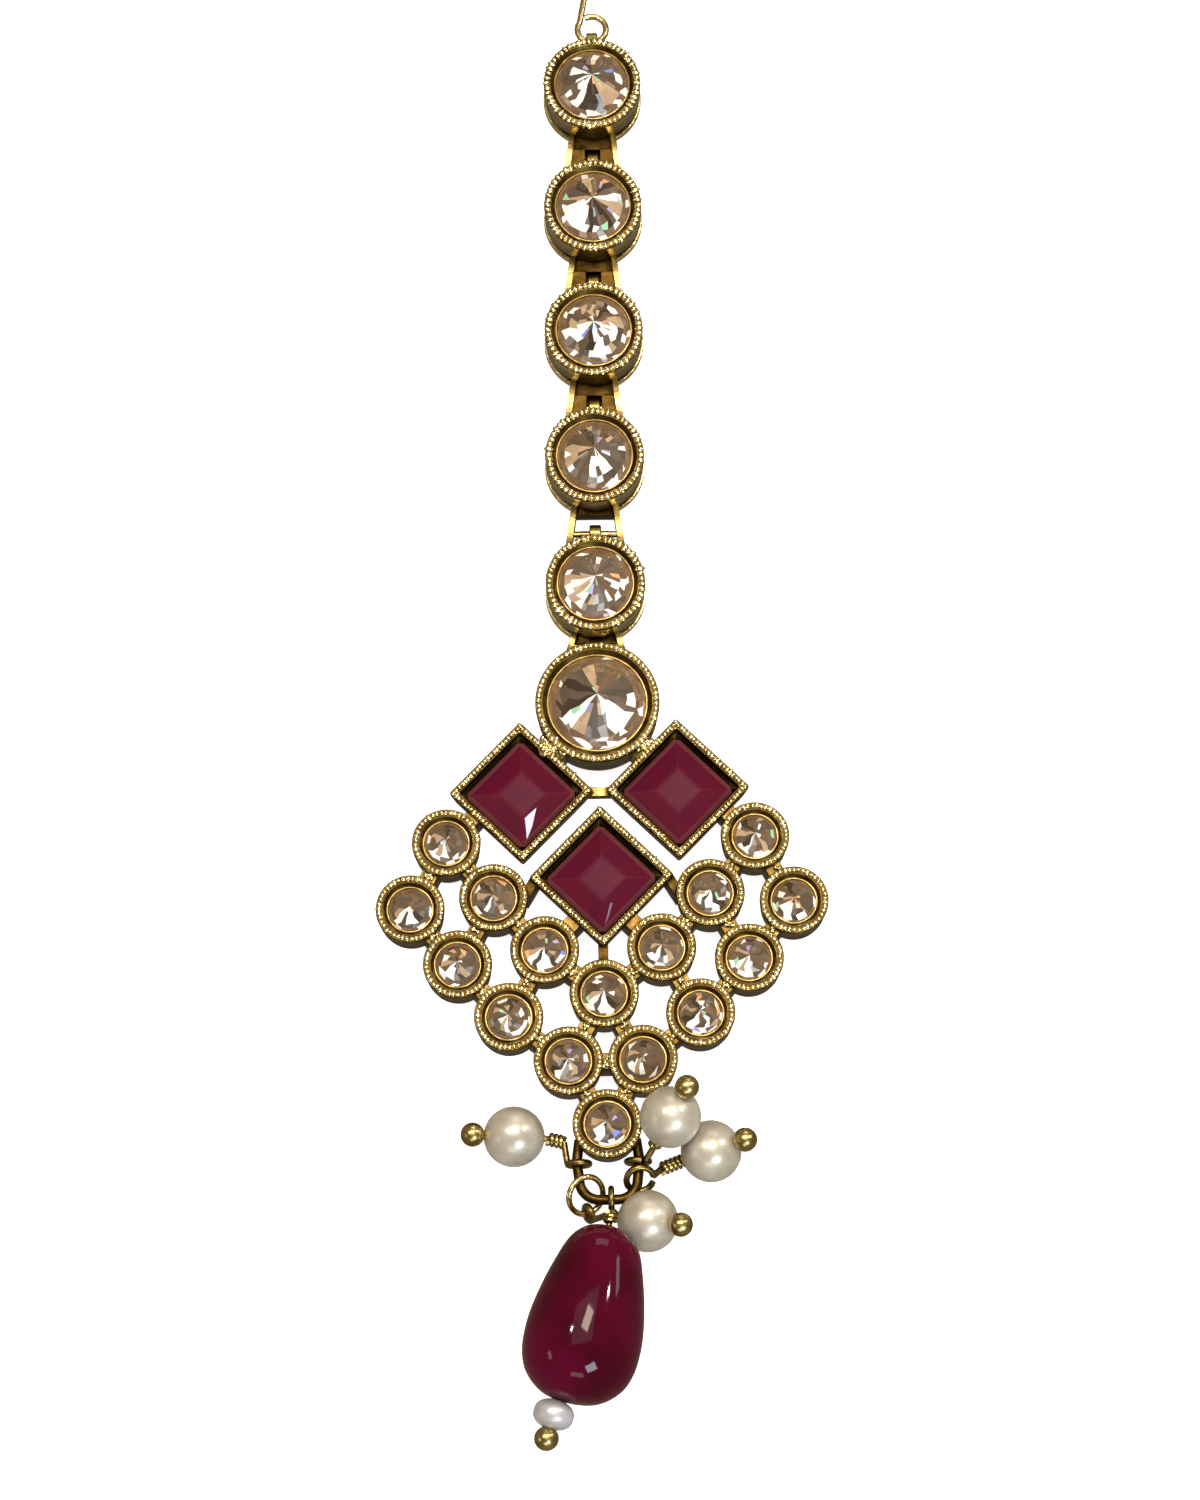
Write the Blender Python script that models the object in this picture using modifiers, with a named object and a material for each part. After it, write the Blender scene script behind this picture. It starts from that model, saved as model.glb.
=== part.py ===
# Maang tikka: a chain of five collet links, a pendant of twenty stone settings cast in one piece,
# four pearl drops and a ruby teardrop, lying on its back.
# Metres, +Z up, +Y towards the hair hook, origin at the back of the middle ruby's box.

import math

import bmesh
import bpy
from mathutils import Matrix, Vector

MM = 0.001

# Fits
STONE_GAP = 0.08 * MM
HINGE_GAP = 0.10 * MM
REST_GAP = 0.03 * MM
MERGE = 0.0001 * MM

# Chain links
LINK_COUNT = 5
LINK_SPACE = 2.32 * MM
LINK_LEAN = math.radians(-0.9)
LINK_RADIUS = 3.35 * MM
LINK_PITCH = 2 * LINK_RADIUS + LINK_SPACE
LINK_HEIGHT = 3.30 * MM
LINK_RIM = 0.45 * MM
CUP_FLOOR = 0.50 * MM
RAIL_HEIGHT = 0.50 * MM
RAIL_PROUD = 0.05 * MM
GALLERY_HEIGHT = 0.50 * MM
GALLERY_DEPTH = 0.35 * MM

# Hinge between two links
HINGE_Z = 0.75 * MM
HINGE_PIN = 0.25 * MM
HINGE_REACH = 1.52 * MM
LAST_HINGE_REACH = 0.40 * MM
CROWN_HINGE_REACH = 0.40 * MM
HINGE_BELOW_LINK = LINK_RADIUS + HINGE_REACH
LAST_HINGE_BELOW_LINK = LINK_RADIUS + LAST_HINGE_REACH
EYE_WALL = 0.30 * MM
EYE_WIDTH = 0.80 * MM
EAR_WIDTH = 0.50 * MM
EAR_HEIGHT = 1.50 * MM
EAR_SPREAD_TOP = 1.35 * MM
EAR_SPREAD_END = 1.80 * MM
EAR_CLEAR = 0.15 * MM
PLATE_HEIGHT = 1.10 * MM
PLATE_IN_EAR = 0.20 * MM
LONG_PLATE = 2.15 * MM
SHORT_PLATE = 0.25 * MM

# Round stones, set point up
LINK_STONE = 2.50 * MM
CROWN_STONE = 3.25 * MM
SMALL_STONE = 1.45 * MM
GIRDLE = 0.10 * MM
GIRDLE_SINK = 0.50 * MM
SEAT_WIDTH = 0.50 * MM
TABLE_SIDES = 8
TABLE_SHARE = 0.55
CROWN_SHARE = 0.30
POINT_SHARE = 0.74
POINT_BELLY = 0.55
BELLY_RISE = 0.49

# Pendant casting
CROWN_CUP_Y = 11.84 * MM
CROWN_CUP_RADIUS = 4.15 * MM
CROWN_CUP_HEIGHT = 3.20 * MM
HINGE_FROM_CROWN = CROWN_CUP_RADIUS + CROWN_HINGE_REACH
CUP_RADIUS = 2.28 * MM
CUP_HEIGHT = 3.00 * MM
CUP_RIM_WIDTH = 0.50 * MM
CUP_SPACE = 0.32 * MM
CUP_PITCH = 2 * CUP_RADIUS + CUP_SPACE
CENTRE_CUP_DROP = 7.91 * MM
TIER_DROP = 4.43 * MM
ARM_ANGLES = (38.0, 47.5, 51.0)
BOX_DIAGONAL = 4.75 * MM
BOX_HEIGHT = 3.00 * MM
BOX_WALL = 0.45 * MM
SIDE_BOX_X = 5.20 * MM
SIDE_BOX_Y = 5.85 * MM
BRIDGE_WIDTH = 1.10 * MM
THIN_BRIDGE = 0.66 * MM
CROWN_BRIDGE = 1.76 * MM
BRIDGE_HEIGHT = 2.55 * MM
BRIDGE_BITE = 0.35 * MM

# Square rubies
RUBY_SIDE = 5.30 * MM
RUBY_CORNER = 0.35 * MM
RUBY_TABLE = 2.00 * MM
RUBY_SINK = 0.55 * MM
RUBY_BEVEL = 0.35 * MM
RUBY_BEVEL_RISE = 0.20 * MM
RUBY_RISE = 0.50 * MM
RUBY_DEPTH = 1.10 * MM
RUBY_KEEL = 1.80 * MM

# Bail soldered under the lowest cup
BAIL_WIRE = 0.34 * MM
BAIL_Z = 1.40 * MM
BAIL_TOP_HALF = 1.85 * MM
BAIL_HALF = 1.90 * MM
BAIL_SHOULDER_HALF = 2.05 * MM
BAIL_SHOULDER = 2.20 * MM
BAIL_DROP = 4.75 * MM
BAIL_CORNER = 1.30 * MM
BAIL_SINK = 0.80 * MM
BAIL_CORNER_STEPS = 4

# Drops
PEARL = 2.00 * MM
PEARL_HOLE = 0.36 * MM
PEARL_STEPS = 8
PIN_WIRE = 0.22 * MM
PIN_BALL = 0.80 * MM
BALL_START = math.radians(20)
BALL_STEPS = 5
BALL_SEAT = 0.06 * MM
WRAP = 0.38 * MM
WRAP_CLEAR = 0.12 * MM
DROP_WRAP = 0.75 * MM
EYE_TURN = 290
EYE_STEPS = 10
RING_EYE = 0.50 * MM
JUMP_RING = 1.25 * MM
JUMP_WIRE = 0.20 * MM
DROP_WIDE = 3.80 * MM
DROP_LENGTH = 11.67 * MM
DROP_SIDES = 14
RONDELLE = 1.22 * MM
RONDELLE_THICK = 1.70 * MM
RONDELLE_STEPS = 6

# Hook that the hair hides
HOOK_WIRE = 0.22 * MM
HOOK_RING = 1.00 * MM
HOOK_LENGTH = 5.50 * MM
HOOK_BEND = 1.20 * MM
HOOK_TIP = 2.40 * MM
HOOK_RING_TURN = 330
HOOK_RING_STEPS = 14
HOOK_BEND_STEPS = 8

ROUND_SIDES = 16
CROWN_SIDES = 20
BEAD_SIDES = 12
BORE_SIDES = 12
PIN_SIDES = 8
WIRE_RESOLUTION = 1

# Each pearl drop, in millimetres from the lowest cup's centre: where its eye holds the bail, the
# eye's radius and axis, the start of its wrapping, the pearl's centre, and the way its pin runs
# outwards through the pearl.
PEARL_DROPS = {
    "left": dict(eye=(-1.95, -2.36), size=0.72, spin=(0.0, 1.0, 0.0), wrap=(-2.85, -0.95, 1.60),
                 pearl=(-6.08, -0.58), lift=0.0, out=(-0.98, 0.05, 0.16)),
    "upper": dict(eye=(1.95, -2.28), size=0.72, spin=(0.0, 1.0, 0.0), wrap=(3.02, -1.50, 2.50),
                  pearl=(4.09, 0.06), lift=2.43, out=(0.40, 0.57, 0.72)),
    "right": dict(eye=(2.05, -3.45), size=0.90, spin=(0.15, -0.65, 0.745), wrap=(3.45, -2.75, 1.00),
                  pearl=(6.72, -1.82), lift=0.0, out=(0.79, 0.15, 0.58)),
    "lower": dict(eye=(0.15, -4.75), size=0.72, spin=(1.0, 0.0, 0.0), wrap=(0.66, -5.85, 0.80),
                  pearl=(2.47, -6.30), lift=0.0, out=(0.77, -0.20, 0.60)),
}

# The teardrop's outline: shares of its length from the narrow end and of its greatest radius
DROP_OUTLINE = ((0.0, 0.0), (0.019, 0.303), (0.064, 0.505), (0.129, 0.637), (0.231, 0.753),
                (0.377, 0.879), (0.523, 0.968), (0.643, 1.0), (0.763, 0.974), (0.865, 0.858),
                (0.943, 0.637), (0.985, 0.374), (1.0, 0.0))

# The jump ring and the teardrop, in millimetres from the lowest cup's centre
RING_PLACE = (-1.50, -4.44, 1.38)
RING_NORMAL = (0.47, -0.40, 0.79)
RING_HOLD = (0.34, -0.94, 0.0)
DROP_TOP = (-0.05, -6.84, 3.95)
DROP_LEAN = math.radians(14.1)
BORE_LEAN = math.radians(17.6)


def clear_scene():
    for obj in list(bpy.data.objects):
        bpy.data.objects.remove(obj, do_unlink=True)


def collection(name):
    made = bpy.data.collections.new(name)
    bpy.context.scene.collection.children.link(made)
    return made


def finish(name, colour, roughness, metallic, clear=0.0):
    """A Principled material with the part's colour, roughness and metallic value."""
    made = bpy.data.materials.new(name)
    made.use_nodes = True
    shader = made.node_tree.nodes["Principled BSDF"]
    shader.inputs["Base Color"].default_value = (*colour, 1.0)
    shader.inputs["Roughness"].default_value = roughness
    shader.inputs["Metallic"].default_value = metallic
    shader.inputs["Transmission Weight"].default_value = clear
    return made


def placed(name, data, group, material=None):
    obj = bpy.data.objects.new(name, data)
    group.objects.link(obj)
    if group is CUTTERS:
        obj.hide_render = True
        obj.display_type = "WIRE"
    if material:
        data.materials.append(material)
    return obj


def made_plain(obj):
    """Turns what the object's curve or modifiers give into a plain mesh, with its ends welded."""
    graph = bpy.context.evaluated_depsgraph_get()
    mesh = bpy.data.meshes.new_from_object(obj.evaluated_get(graph))
    form = bmesh.new()
    form.from_mesh(mesh)
    bmesh.ops.remove_doubles(form, verts=form.verts, dist=MERGE)
    form.to_mesh(mesh)
    form.free()
    name, group, matrix = obj.name, obj.users_collection[0], obj.matrix_world.copy()
    materials = list(obj.data.materials)
    bpy.data.objects.remove(obj, do_unlink=True)
    mesh.materials.clear()
    plain = placed(name, mesh, group, materials[0] if materials else None)
    plain.matrix_world = matrix
    return plain


def rounded(obj, angle=30.0):
    obj.data.shade_smooth()
    obj.data.set_sharp_from_angle(angle=math.radians(angle))
    return obj


def boolean(target, tool, operation):
    step = target.modifiers.new(f"{operation.lower()} {tool.name}", "BOOLEAN")
    step.operation = operation
    step.solver = "EXACT"
    step.object = tool


def facing(way, axis):
    """The turn that brings an object's X or Z axis onto a direction."""
    return way.to_track_quat(axis, "Y").to_matrix().to_4x4()


def turned(name, profile, sides, group, closed=False):
    """A profile of (radius, height) points, from the axis down the outer side, turned round Z."""
    mesh = bpy.data.meshes.new(name)
    count = len(profile)
    edges = [(i, (i + 1) % count) for i in range(count if closed else count - 1)]
    mesh.from_pydata([(radius, 0, height) for radius, height in profile], edges, [])
    obj = placed(name, mesh, group)
    screw = obj.modifiers.new("turn", "SCREW")
    screw.steps = screw.render_steps = sides
    screw.use_merge_vertices = True
    screw.merge_threshold = MERGE
    return made_plain(obj)


def block(name, low, high):
    """A box from its low corner to its high corner."""
    mesh = bpy.data.meshes.new(name)
    low, high = Vector(low), Vector(high)
    shape = Matrix.Translation((low + high) / 2) @ Matrix.Diagonal((*(high - low), 1.0))
    form = bmesh.new()
    bmesh.ops.create_cube(form, size=1.0, matrix=shape)
    form.to_mesh(mesh)
    form.free()
    return placed(name, mesh, CUTTERS)


def rod(name, radius, width, centre, sides):
    """A cylinder along X."""
    mesh = bpy.data.meshes.new(name)
    form = bmesh.new()
    bmesh.ops.create_cone(
        form, cap_ends=True, segments=sides, radius1=radius, radius2=radius, depth=width,
        matrix=Matrix.Translation(centre) @ Matrix.Rotation(math.radians(90), 4, "Y"),
    )
    form.to_mesh(mesh)
    form.free()
    return placed(name, mesh, CUTTERS)


def bar(name, start, end, width, height):
    """An upright-sided bar on the surface, between two points of the plan."""
    start, end = Vector(start).to_2d(), Vector(end).to_2d()
    run = end - start
    made = block(name, (0, -width / 2, 0), (run.length, width / 2, height))
    made.matrix_world = Matrix.Translation((*start, 0)) @ Matrix.Rotation(
        math.atan2(run.y, run.x), 4, "Z"
    )
    return made


def wire(name, points, group, material=None, resolution=WIRE_RESOLUTION, closed=False):
    """A wire through (position, radius) points, as a bevelled curve made a mesh."""
    curve = bpy.data.curves.new(name, "CURVE")
    curve.dimensions = "3D"
    curve.bevel_depth = PIN_WIRE
    curve.bevel_resolution = resolution
    curve.use_fill_caps = True
    spline = curve.splines.new("POLY")
    spline.points.add(len(points) - 1)
    spline.use_cyclic_u = closed
    for point, (place, radius) in zip(spline.points, points):
        point.co = (*place, 1.0)
        point.radius = radius / PIN_WIRE
    return rounded(made_plain(placed(name, curve, group, material)), 45.0)


def hull(name, points, material):
    """The convex solid round its corner points, as a cut stone is."""
    mesh = bpy.data.meshes.new(name)
    form = bmesh.new()
    for point in points:
        form.verts.new(point)
    shape = bmesh.ops.convex_hull(form, input=form.verts, use_existing_faces=False)
    inner = [v for v in set(shape["geom_interior"] + shape["geom_unused"])
             if isinstance(v, bmesh.types.BMVert)]
    bmesh.ops.delete(form, geom=inner, context="VERTS")
    form.to_mesh(mesh)
    form.free()
    return placed(name, mesh, PARTS, material)


def arc_steps(start, end, steps):
    return [start + (end - start) * i / steps for i in range(steps + 1)]


def ring_points(radius, height, count, turn=0.0):
    return [
        Vector((radius * math.cos(a), radius * math.sin(a), height))
        for a in (2 * math.pi * (i + turn) / count for i in range(count))
    ]


def girdle_height(setting_height):
    return setting_height - GIRDLE_SINK


def round_setting(radius, height, rim, stone, rail=False):
    """Profile of a round cup: floor, wall, seat parallel to the stone's crown, sloping rim, outside."""
    girdle = girdle_height(height)
    slope = CROWN_SHARE / (1 - TABLE_SHARE)
    seat_in = stone - SEAT_WIDTH
    seat_low = girdle - STONE_GAP - SEAT_WIDTH * slope
    seat_out = stone + STONE_GAP
    profile = [
        (0, CUP_FLOOR), (seat_in, CUP_FLOOR), (seat_in, seat_low),
        (seat_out, girdle - STONE_GAP / 2), (seat_out, girdle + GIRDLE), (radius - rim, height),
        (radius, height),
    ]
    if rail:
        gallery_top = RAIL_HEIGHT + GALLERY_HEIGHT
        profile += [
            (radius, gallery_top), (radius - GALLERY_DEPTH, gallery_top),
            (radius - GALLERY_DEPTH, RAIL_HEIGHT), (radius + RAIL_PROUD, RAIL_HEIGHT),
            (radius + RAIL_PROUD, 0),
        ]
    else:
        profile += [(radius, 0)]
    return profile + [(0, 0)]


def brilliant(name, radius, girdle, material):
    """A round stone set point up: table below, crown, girdle, belly and point."""
    crown = radius * CROWN_SHARE
    point = radius * POINT_SHARE
    belly = radius * POINT_BELLY
    points = ring_points(radius * TABLE_SHARE, girdle - crown, TABLE_SIDES)
    points += ring_points(radius, girdle, ROUND_SIDES)
    points += ring_points(radius, girdle + GIRDLE, ROUND_SIDES)
    points += ring_points(belly, girdle + GIRDLE + point * BELLY_RISE, TABLE_SIDES, 0.5)
    points.append(Vector((0, 0, girdle + GIRDLE + point)))
    return hull(name, points, material)


def square_ruby(name, material):
    """A square stone with clipped corners: keel below, girdle, narrow bevel, slopes and a table."""
    girdle = BOX_HEIGHT - RUBY_SINK

    def square(side, height, corner):
        half = side / 2
        inner = half - corner
        return [
            Vector((sx * x, sy * y, height))
            for sx in (-1, 1) for sy in (-1, 1) for x, y in ((half, inner), (inner, half))
        ]

    points = square(RUBY_KEEL, girdle - RUBY_DEPTH, RUBY_CORNER / 2)
    points += square(RUBY_SIDE, girdle, RUBY_CORNER)
    points += square(RUBY_SIDE, girdle + GIRDLE, RUBY_CORNER)
    points += square(RUBY_SIDE - 2 * RUBY_BEVEL, girdle + GIRDLE + RUBY_BEVEL_RISE, RUBY_CORNER)
    points += square(RUBY_TABLE, girdle + GIRDLE + RUBY_RISE, RUBY_CORNER / 2)
    turn = Matrix.Rotation(math.radians(45), 3, "Z")
    return hull(name, [turn @ point for point in points], material)


def link_mesh(name, hinge_below, ear_end, plate):
    """One link in its own frame: cup on a gallery rail, top eye, two ears, cross plate and pin."""
    cup = turned(name, round_setting(LINK_RADIUS, LINK_HEIGHT, LINK_RIM, LINK_STONE, True),
                 ROUND_SIDES, CUTTERS)
    eye_out = HINGE_PIN + HINGE_GAP + EYE_WALL
    wall_in = LINK_RADIUS - 2 * BRIDGE_BITE
    plate_half = EAR_SPREAD_TOP + PLATE_IN_EAR
    cross = block(f"{name} plate", (-plate_half, -LINK_RADIUS - plate, 0),
                  (plate_half, -wall_in, PLATE_HEIGHT))
    boolean(cup, cross, "UNION")
    for side in (-1, 1):
        top = (side * EAR_SPREAD_TOP, -wall_in)
        end = (side * EAR_SPREAD_END, -ear_end)
        boolean(cup, bar(f"{name} ear", top, end, EAR_WIDTH, EAR_HEIGHT), "UNION")
    slot = rod(f"{name} slot", eye_out + HINGE_GAP, EYE_WIDTH + 2 * HINGE_GAP,
               (0, -hinge_below, HINGE_Z), ROUND_SIDES)
    boolean(cup, slot, "DIFFERENCE")
    if plate > SHORT_PLATE:
        channel_half = EYE_WIDTH / 2 + HINGE_GAP
        channel = block(f"{name} channel", (-channel_half, -LINK_PITCH + LINK_RADIUS, -EAR_CLEAR),
                        (channel_half, -hinge_below + HINGE_PIN, EAR_HEIGHT + EAR_CLEAR))
        boolean(cup, channel, "DIFFERENCE")
    pin = rod(f"{name} pin", HINGE_PIN, 2 * EAR_SPREAD_TOP + EAR_WIDTH,
              (0, -hinge_below, HINGE_Z), PIN_SIDES)
    boolean(cup, pin, "UNION")
    eye_y = LINK_PITCH - HINGE_BELOW_LINK
    neck = block(f"{name} neck", (-EYE_WIDTH / 2, wall_in, HINGE_Z - EYE_WALL),
                 (EYE_WIDTH / 2, eye_y, HINGE_Z + EYE_WALL))
    boolean(cup, neck, "UNION")
    add_eye(cup, name, eye_y)
    return made_plain(cup).data


def add_eye(target, name, eye_y):
    """The hinge eye that the pin of the link above passes through."""
    eye_in = HINGE_PIN + HINGE_GAP
    centre = (0, eye_y, HINGE_Z)
    boolean(target, rod(f"{name} eye", eye_in + EYE_WALL, EYE_WIDTH, centre, BORE_SIDES), "UNION")
    boolean(target, rod(f"{name} bore", eye_in, 2 * EYE_WIDTH, centre, BORE_SIDES), "DIFFERENCE")


def link_frames():
    """The place of each link, from the hair end down, along a line that leans from the last hinge."""
    foot = Matrix.Translation((0, CROWN_CUP_Y + HINGE_FROM_CROWN, 0))
    lean = Matrix.Rotation(LINK_LEAN, 4, "Z")
    for number in range(1, LINK_COUNT + 1):
        reach = LAST_HINGE_BELOW_LINK + (LINK_COUNT - number) * LINK_PITCH
        yield number, foot @ lean @ Matrix.Translation((0, reach, 0))


def add_links():
    """Five hinged links and their stones."""
    ear_end = LINK_PITCH - math.sqrt(
        (LINK_RADIUS + RAIL_PROUD + EAR_CLEAR) ** 2 - (EAR_SPREAD_END - EAR_WIDTH / 2) ** 2)
    last_gap = LAST_HINGE_BELOW_LINK + HINGE_FROM_CROWN
    last_end = last_gap - math.sqrt(
        (CROWN_CUP_RADIUS + EAR_CLEAR) ** 2 - (EAR_SPREAD_END - EAR_WIDTH / 2) ** 2)
    for number, frame in link_frames():
        last = number == LINK_COUNT
        plate = LONG_PLATE if number < LINK_COUNT - 1 else SHORT_PLATE
        mesh = link_mesh(f"shape {number}", LAST_HINGE_BELOW_LINK if last else HINGE_BELOW_LINK,
                         last_end if last else ear_end, plate)
        link = placed(f"link_{number}", mesh, PARTS, GOLD)
        link.matrix_world = frame
        rounded(link)
        stone = brilliant(f"link_stone_{number}", LINK_STONE, girdle_height(LINK_HEIGHT), CHAMPAGNE)
        stone.matrix_world = frame


def small_cup_places():
    """Centres of the sixteen small cups: two tiers of arms that rise from the middle, and the point."""
    def arm(start, side):
        place, places = Vector(start), []
        for angle in ARM_ANGLES:
            turn = math.radians(angle)
            place = place + CUP_PITCH * Vector((side * math.cos(turn), math.sin(turn)))
            places.append(place)
        return places

    centre = Vector((0, -CENTRE_CUP_DROP))
    half = CUP_PITCH / 2
    lower = [Vector((side * half, centre.y - TIER_DROP)) for side in (-1, 1)]
    point = Vector((0, lower[0].y - math.sqrt(CUP_PITCH**2 - half**2)))
    inner = [arm(centre, side) for side in (-1, 1)]
    outer = [arm(start, side) for start, side in zip(lower, (-1, 1))]
    return centre, lower, point, inner, outer


def between(a, b, reach_a, reach_b):
    """A bridge from inside one wall to inside the next."""
    way = (b - a).normalized()
    return a + way * reach_a, b - way * reach_b


def bridges():
    """Every soldered bridge of the pendant, as a start, an end and a width."""
    centre, lower, point, inner, outer = small_cup_places()
    bite = CUP_RADIUS - BRIDGE_BITE
    pairs = [(centre, lower[0]), (centre, lower[1]), (lower[0], lower[1]), (lower[0], point),
             (lower[1], point)]
    for side in (0, 1):
        for row, start in ((inner[side], centre), (outer[side], lower[side])):
            pairs += list(zip([start] + row[:-1], row))
        pairs += list(zip(inner[side], outer[side]))
    found = [(*between(a, b, bite, bite), BRIDGE_WIDTH) for a, b in pairs]

    wall = BOX_DIAGONAL / math.sqrt(2) - BRIDGE_BITE
    corner = BOX_DIAGONAL - BRIDGE_BITE
    middle = Vector((0, 0))
    found.append((Vector((0, -corner)), centre + Vector((0, bite)), THIN_BRIDGE))
    for side in (-1, 1):
        row = inner[0 if side < 0 else 1]
        side_box = Vector((side * SIDE_BOX_X, SIDE_BOX_Y))
        down_in = Vector((side, -1)).normalized()
        outer_corner = middle + Vector((side * corner, 0))
        found.append((outer_corner, row[1] - Vector((side, 0)) * bite, THIN_BRIDGE))
        face = wall_foot(middle, down_in, row[0], wall)
        found.append((face, row[0] - down_in * bite, BRIDGE_WIDTH))
        face = wall_foot(side_box, down_in, row[2], wall)
        found.append((face, row[2] - down_in * bite, BRIDGE_WIDTH))
        crown = Vector((0, CROWN_CUP_Y))
        up_in = Vector((-side, 1)).normalized()
        face = wall_foot(side_box, up_in, crown, wall)
        found.append((face, crown - up_in * (CROWN_CUP_RADIUS - BRIDGE_BITE), CROWN_BRIDGE))
        up_out = Vector((side, 1)).normalized()
        meet = (wall_foot(middle, up_out, side_box, wall)
                + wall_foot(side_box, -up_out, middle, wall)) / 2
        half = up_out * (up_out.dot(side_box) / 2 - wall)
        found.append((meet - half, meet + half, THIN_BRIDGE))
    inner_corner = SIDE_BOX_X - corner
    found.append((Vector((-inner_corner, SIDE_BOX_Y)), Vector((inner_corner, SIDE_BOX_Y)),
                  THIN_BRIDGE))
    return found


def wall_foot(centre, normal, target, depth):
    """The point inside a square box's wall that faces a target squarely."""
    offset = target - centre
    return centre + normal * depth + (offset - normal * offset.dot(normal))


def bail_points(point):
    """The bail's centre line: a U with round corners, its ends inside the lowest cup's wall."""
    foot = point.y - BAIL_DROP
    start = [Vector((-BAIL_TOP_HALF, point.y - BAIL_SINK)),
             Vector((-BAIL_SHOULDER_HALF, point.y - BAIL_SHOULDER))]
    corner = Vector((-BAIL_HALF + BAIL_CORNER, foot + BAIL_CORNER))
    arc = [
        corner + BAIL_CORNER * Vector((-math.cos(a), -math.sin(a)))
        for a in arc_steps(0.0, math.pi / 2, BAIL_CORNER_STEPS)
    ]
    left = start + arc
    right = [Vector((-place.x, place.y)) for place in reversed(left)]
    return [((*place, BAIL_Z), BAIL_WIRE) for place in left + right]


def add_pendant():
    """The pendant's casting: sixteen small cups, the crown cup, three boxes, bridges and the bail."""
    centre, lower, point, inner, outer = small_cup_places()
    cups = [centre, *lower, point, *(place for rows in (inner, outer) for row in rows for place in row)]
    crown = Vector((0, CROWN_CUP_Y))
    crown_cup = round_setting(CROWN_CUP_RADIUS, CROWN_CUP_HEIGHT, LINK_RIM, CROWN_STONE)
    casting = turned("pendant", crown_cup, CROWN_SIDES, CUTTERS)
    casting.data.transform(Matrix.Translation((*crown, 0)))
    tools = []
    small = round_setting(CUP_RADIUS, CUP_HEIGHT, CUP_RIM_WIDTH, SMALL_STONE)
    for number, place in enumerate(cups, 1):
        cup = turned(f"cup {number}", small, ROUND_SIDES, CUTTERS)
        cup.matrix_world = Matrix.Translation((*place, 0))
        tools.append(cup)
        stone = brilliant(f"small_stone_{number:02d}", SMALL_STONE, girdle_height(CUP_HEIGHT),
                          CHAMPAGNE)
        stone.matrix_world = Matrix.Translation((*place, 0))
    boxes = (("ruby_centre", 0, 0), ("ruby_left", -SIDE_BOX_X, SIDE_BOX_Y),
             ("ruby_right", SIDE_BOX_X, SIDE_BOX_Y))
    for name, x, y in boxes:
        box = turned(f"box {name}", box_setting(), 4, CUTTERS)
        box.matrix_world = Matrix.Translation((x, y, 0))
        tools.append(box)
        square_ruby(name, RUBY).matrix_world = Matrix.Translation((x, y, 0))
    for number, (start, end, width) in enumerate(bridges()):
        tools.append(bar(f"bridge {number}", start, end, width, BRIDGE_HEIGHT))
    tools.append(wire("bail", bail_points(point), CUTTERS))
    for tool in tools:
        boolean(casting, tool, "UNION")
    casting = made_plain(casting)
    neck_foot = CROWN_CUP_Y + CROWN_CUP_RADIUS - BRIDGE_BITE
    neck = block("crown neck", (-EYE_WIDTH / 2, neck_foot, HINGE_Z - EYE_WALL),
                 (EYE_WIDTH / 2, CROWN_CUP_Y + HINGE_FROM_CROWN, HINGE_Z + EYE_WALL))
    boolean(casting, neck, "UNION")
    add_eye(casting, "crown", CROWN_CUP_Y + HINGE_FROM_CROWN)
    casting = made_plain(casting)
    rounded(placed("pendant_frame", casting.data, PARTS, GOLD))
    crown_stone = brilliant("crown_stone", CROWN_STONE, girdle_height(CROWN_CUP_HEIGHT), CHAMPAGNE)
    crown_stone.matrix_world = Matrix.Translation((*crown, 0))
    return point


def box_setting():
    """Profile of a square box, its radii measured to the corners."""
    girdle = BOX_HEIGHT - RUBY_SINK
    inner = BOX_DIAGONAL - BOX_WALL * math.sqrt(2)
    keel = RUBY_KEEL / math.sqrt(2) + 2 * STONE_GAP
    ledge = RUBY_SIDE / math.sqrt(2)
    return [
        (0, CUP_FLOOR), (keel, CUP_FLOOR), (keel, girdle - RUBY_DEPTH - STONE_GAP),
        (ledge, girdle - STONE_GAP), (inner, girdle), (inner, BOX_HEIGHT),
        (BOX_DIAGONAL, BOX_HEIGHT), (BOX_DIAGONAL, 0), (0, 0),
    ]


def eye_arc(centre, radius, normal, start_way, turn_degrees, steps):
    """Points round an eye: they start at a given side and end where the shank leaves."""
    normal = Vector(normal).normalized()
    way = Vector(start_way)
    way = (way - normal * way.dot(normal)).normalized()
    across = normal.cross(way)
    return [
        centre + radius * (way * math.cos(a) + across * math.sin(a))
        for a in arc_steps(0.0, math.radians(turn_degrees), steps)
    ]


def ball_points(centre, way, radius):
    """A ball as points along a wire, each with the ball's own radius there."""
    end = math.pi - math.asin(PIN_WIRE / radius)
    return [
        (centre + way * radius * math.cos(a), radius * math.sin(a))
        for a in arc_steps(BALL_START, end, BALL_STEPS)
    ]


def head_pin(name, ball, way, mouth, wrap_start, eye):
    """A head pin: ball, shank to the bead's mouth, wrapping and the eye it hangs by."""
    points = ball_points(ball, way, PIN_BALL)
    run = (mouth - wrap_start).normalized()
    wrap_end = mouth - run * WRAP_CLEAR
    turn = run * PIN_WIRE / 2
    points += [(mouth, PIN_WIRE), (wrap_end + turn, PIN_WIRE), (wrap_end, WRAP)]
    points += [(wrap_start, WRAP), (wrap_start - turn, PIN_WIRE)]
    points += [(place, PIN_WIRE) for place in eye]
    return wire(name, points, PARTS, GOLD, resolution=2)


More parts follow.
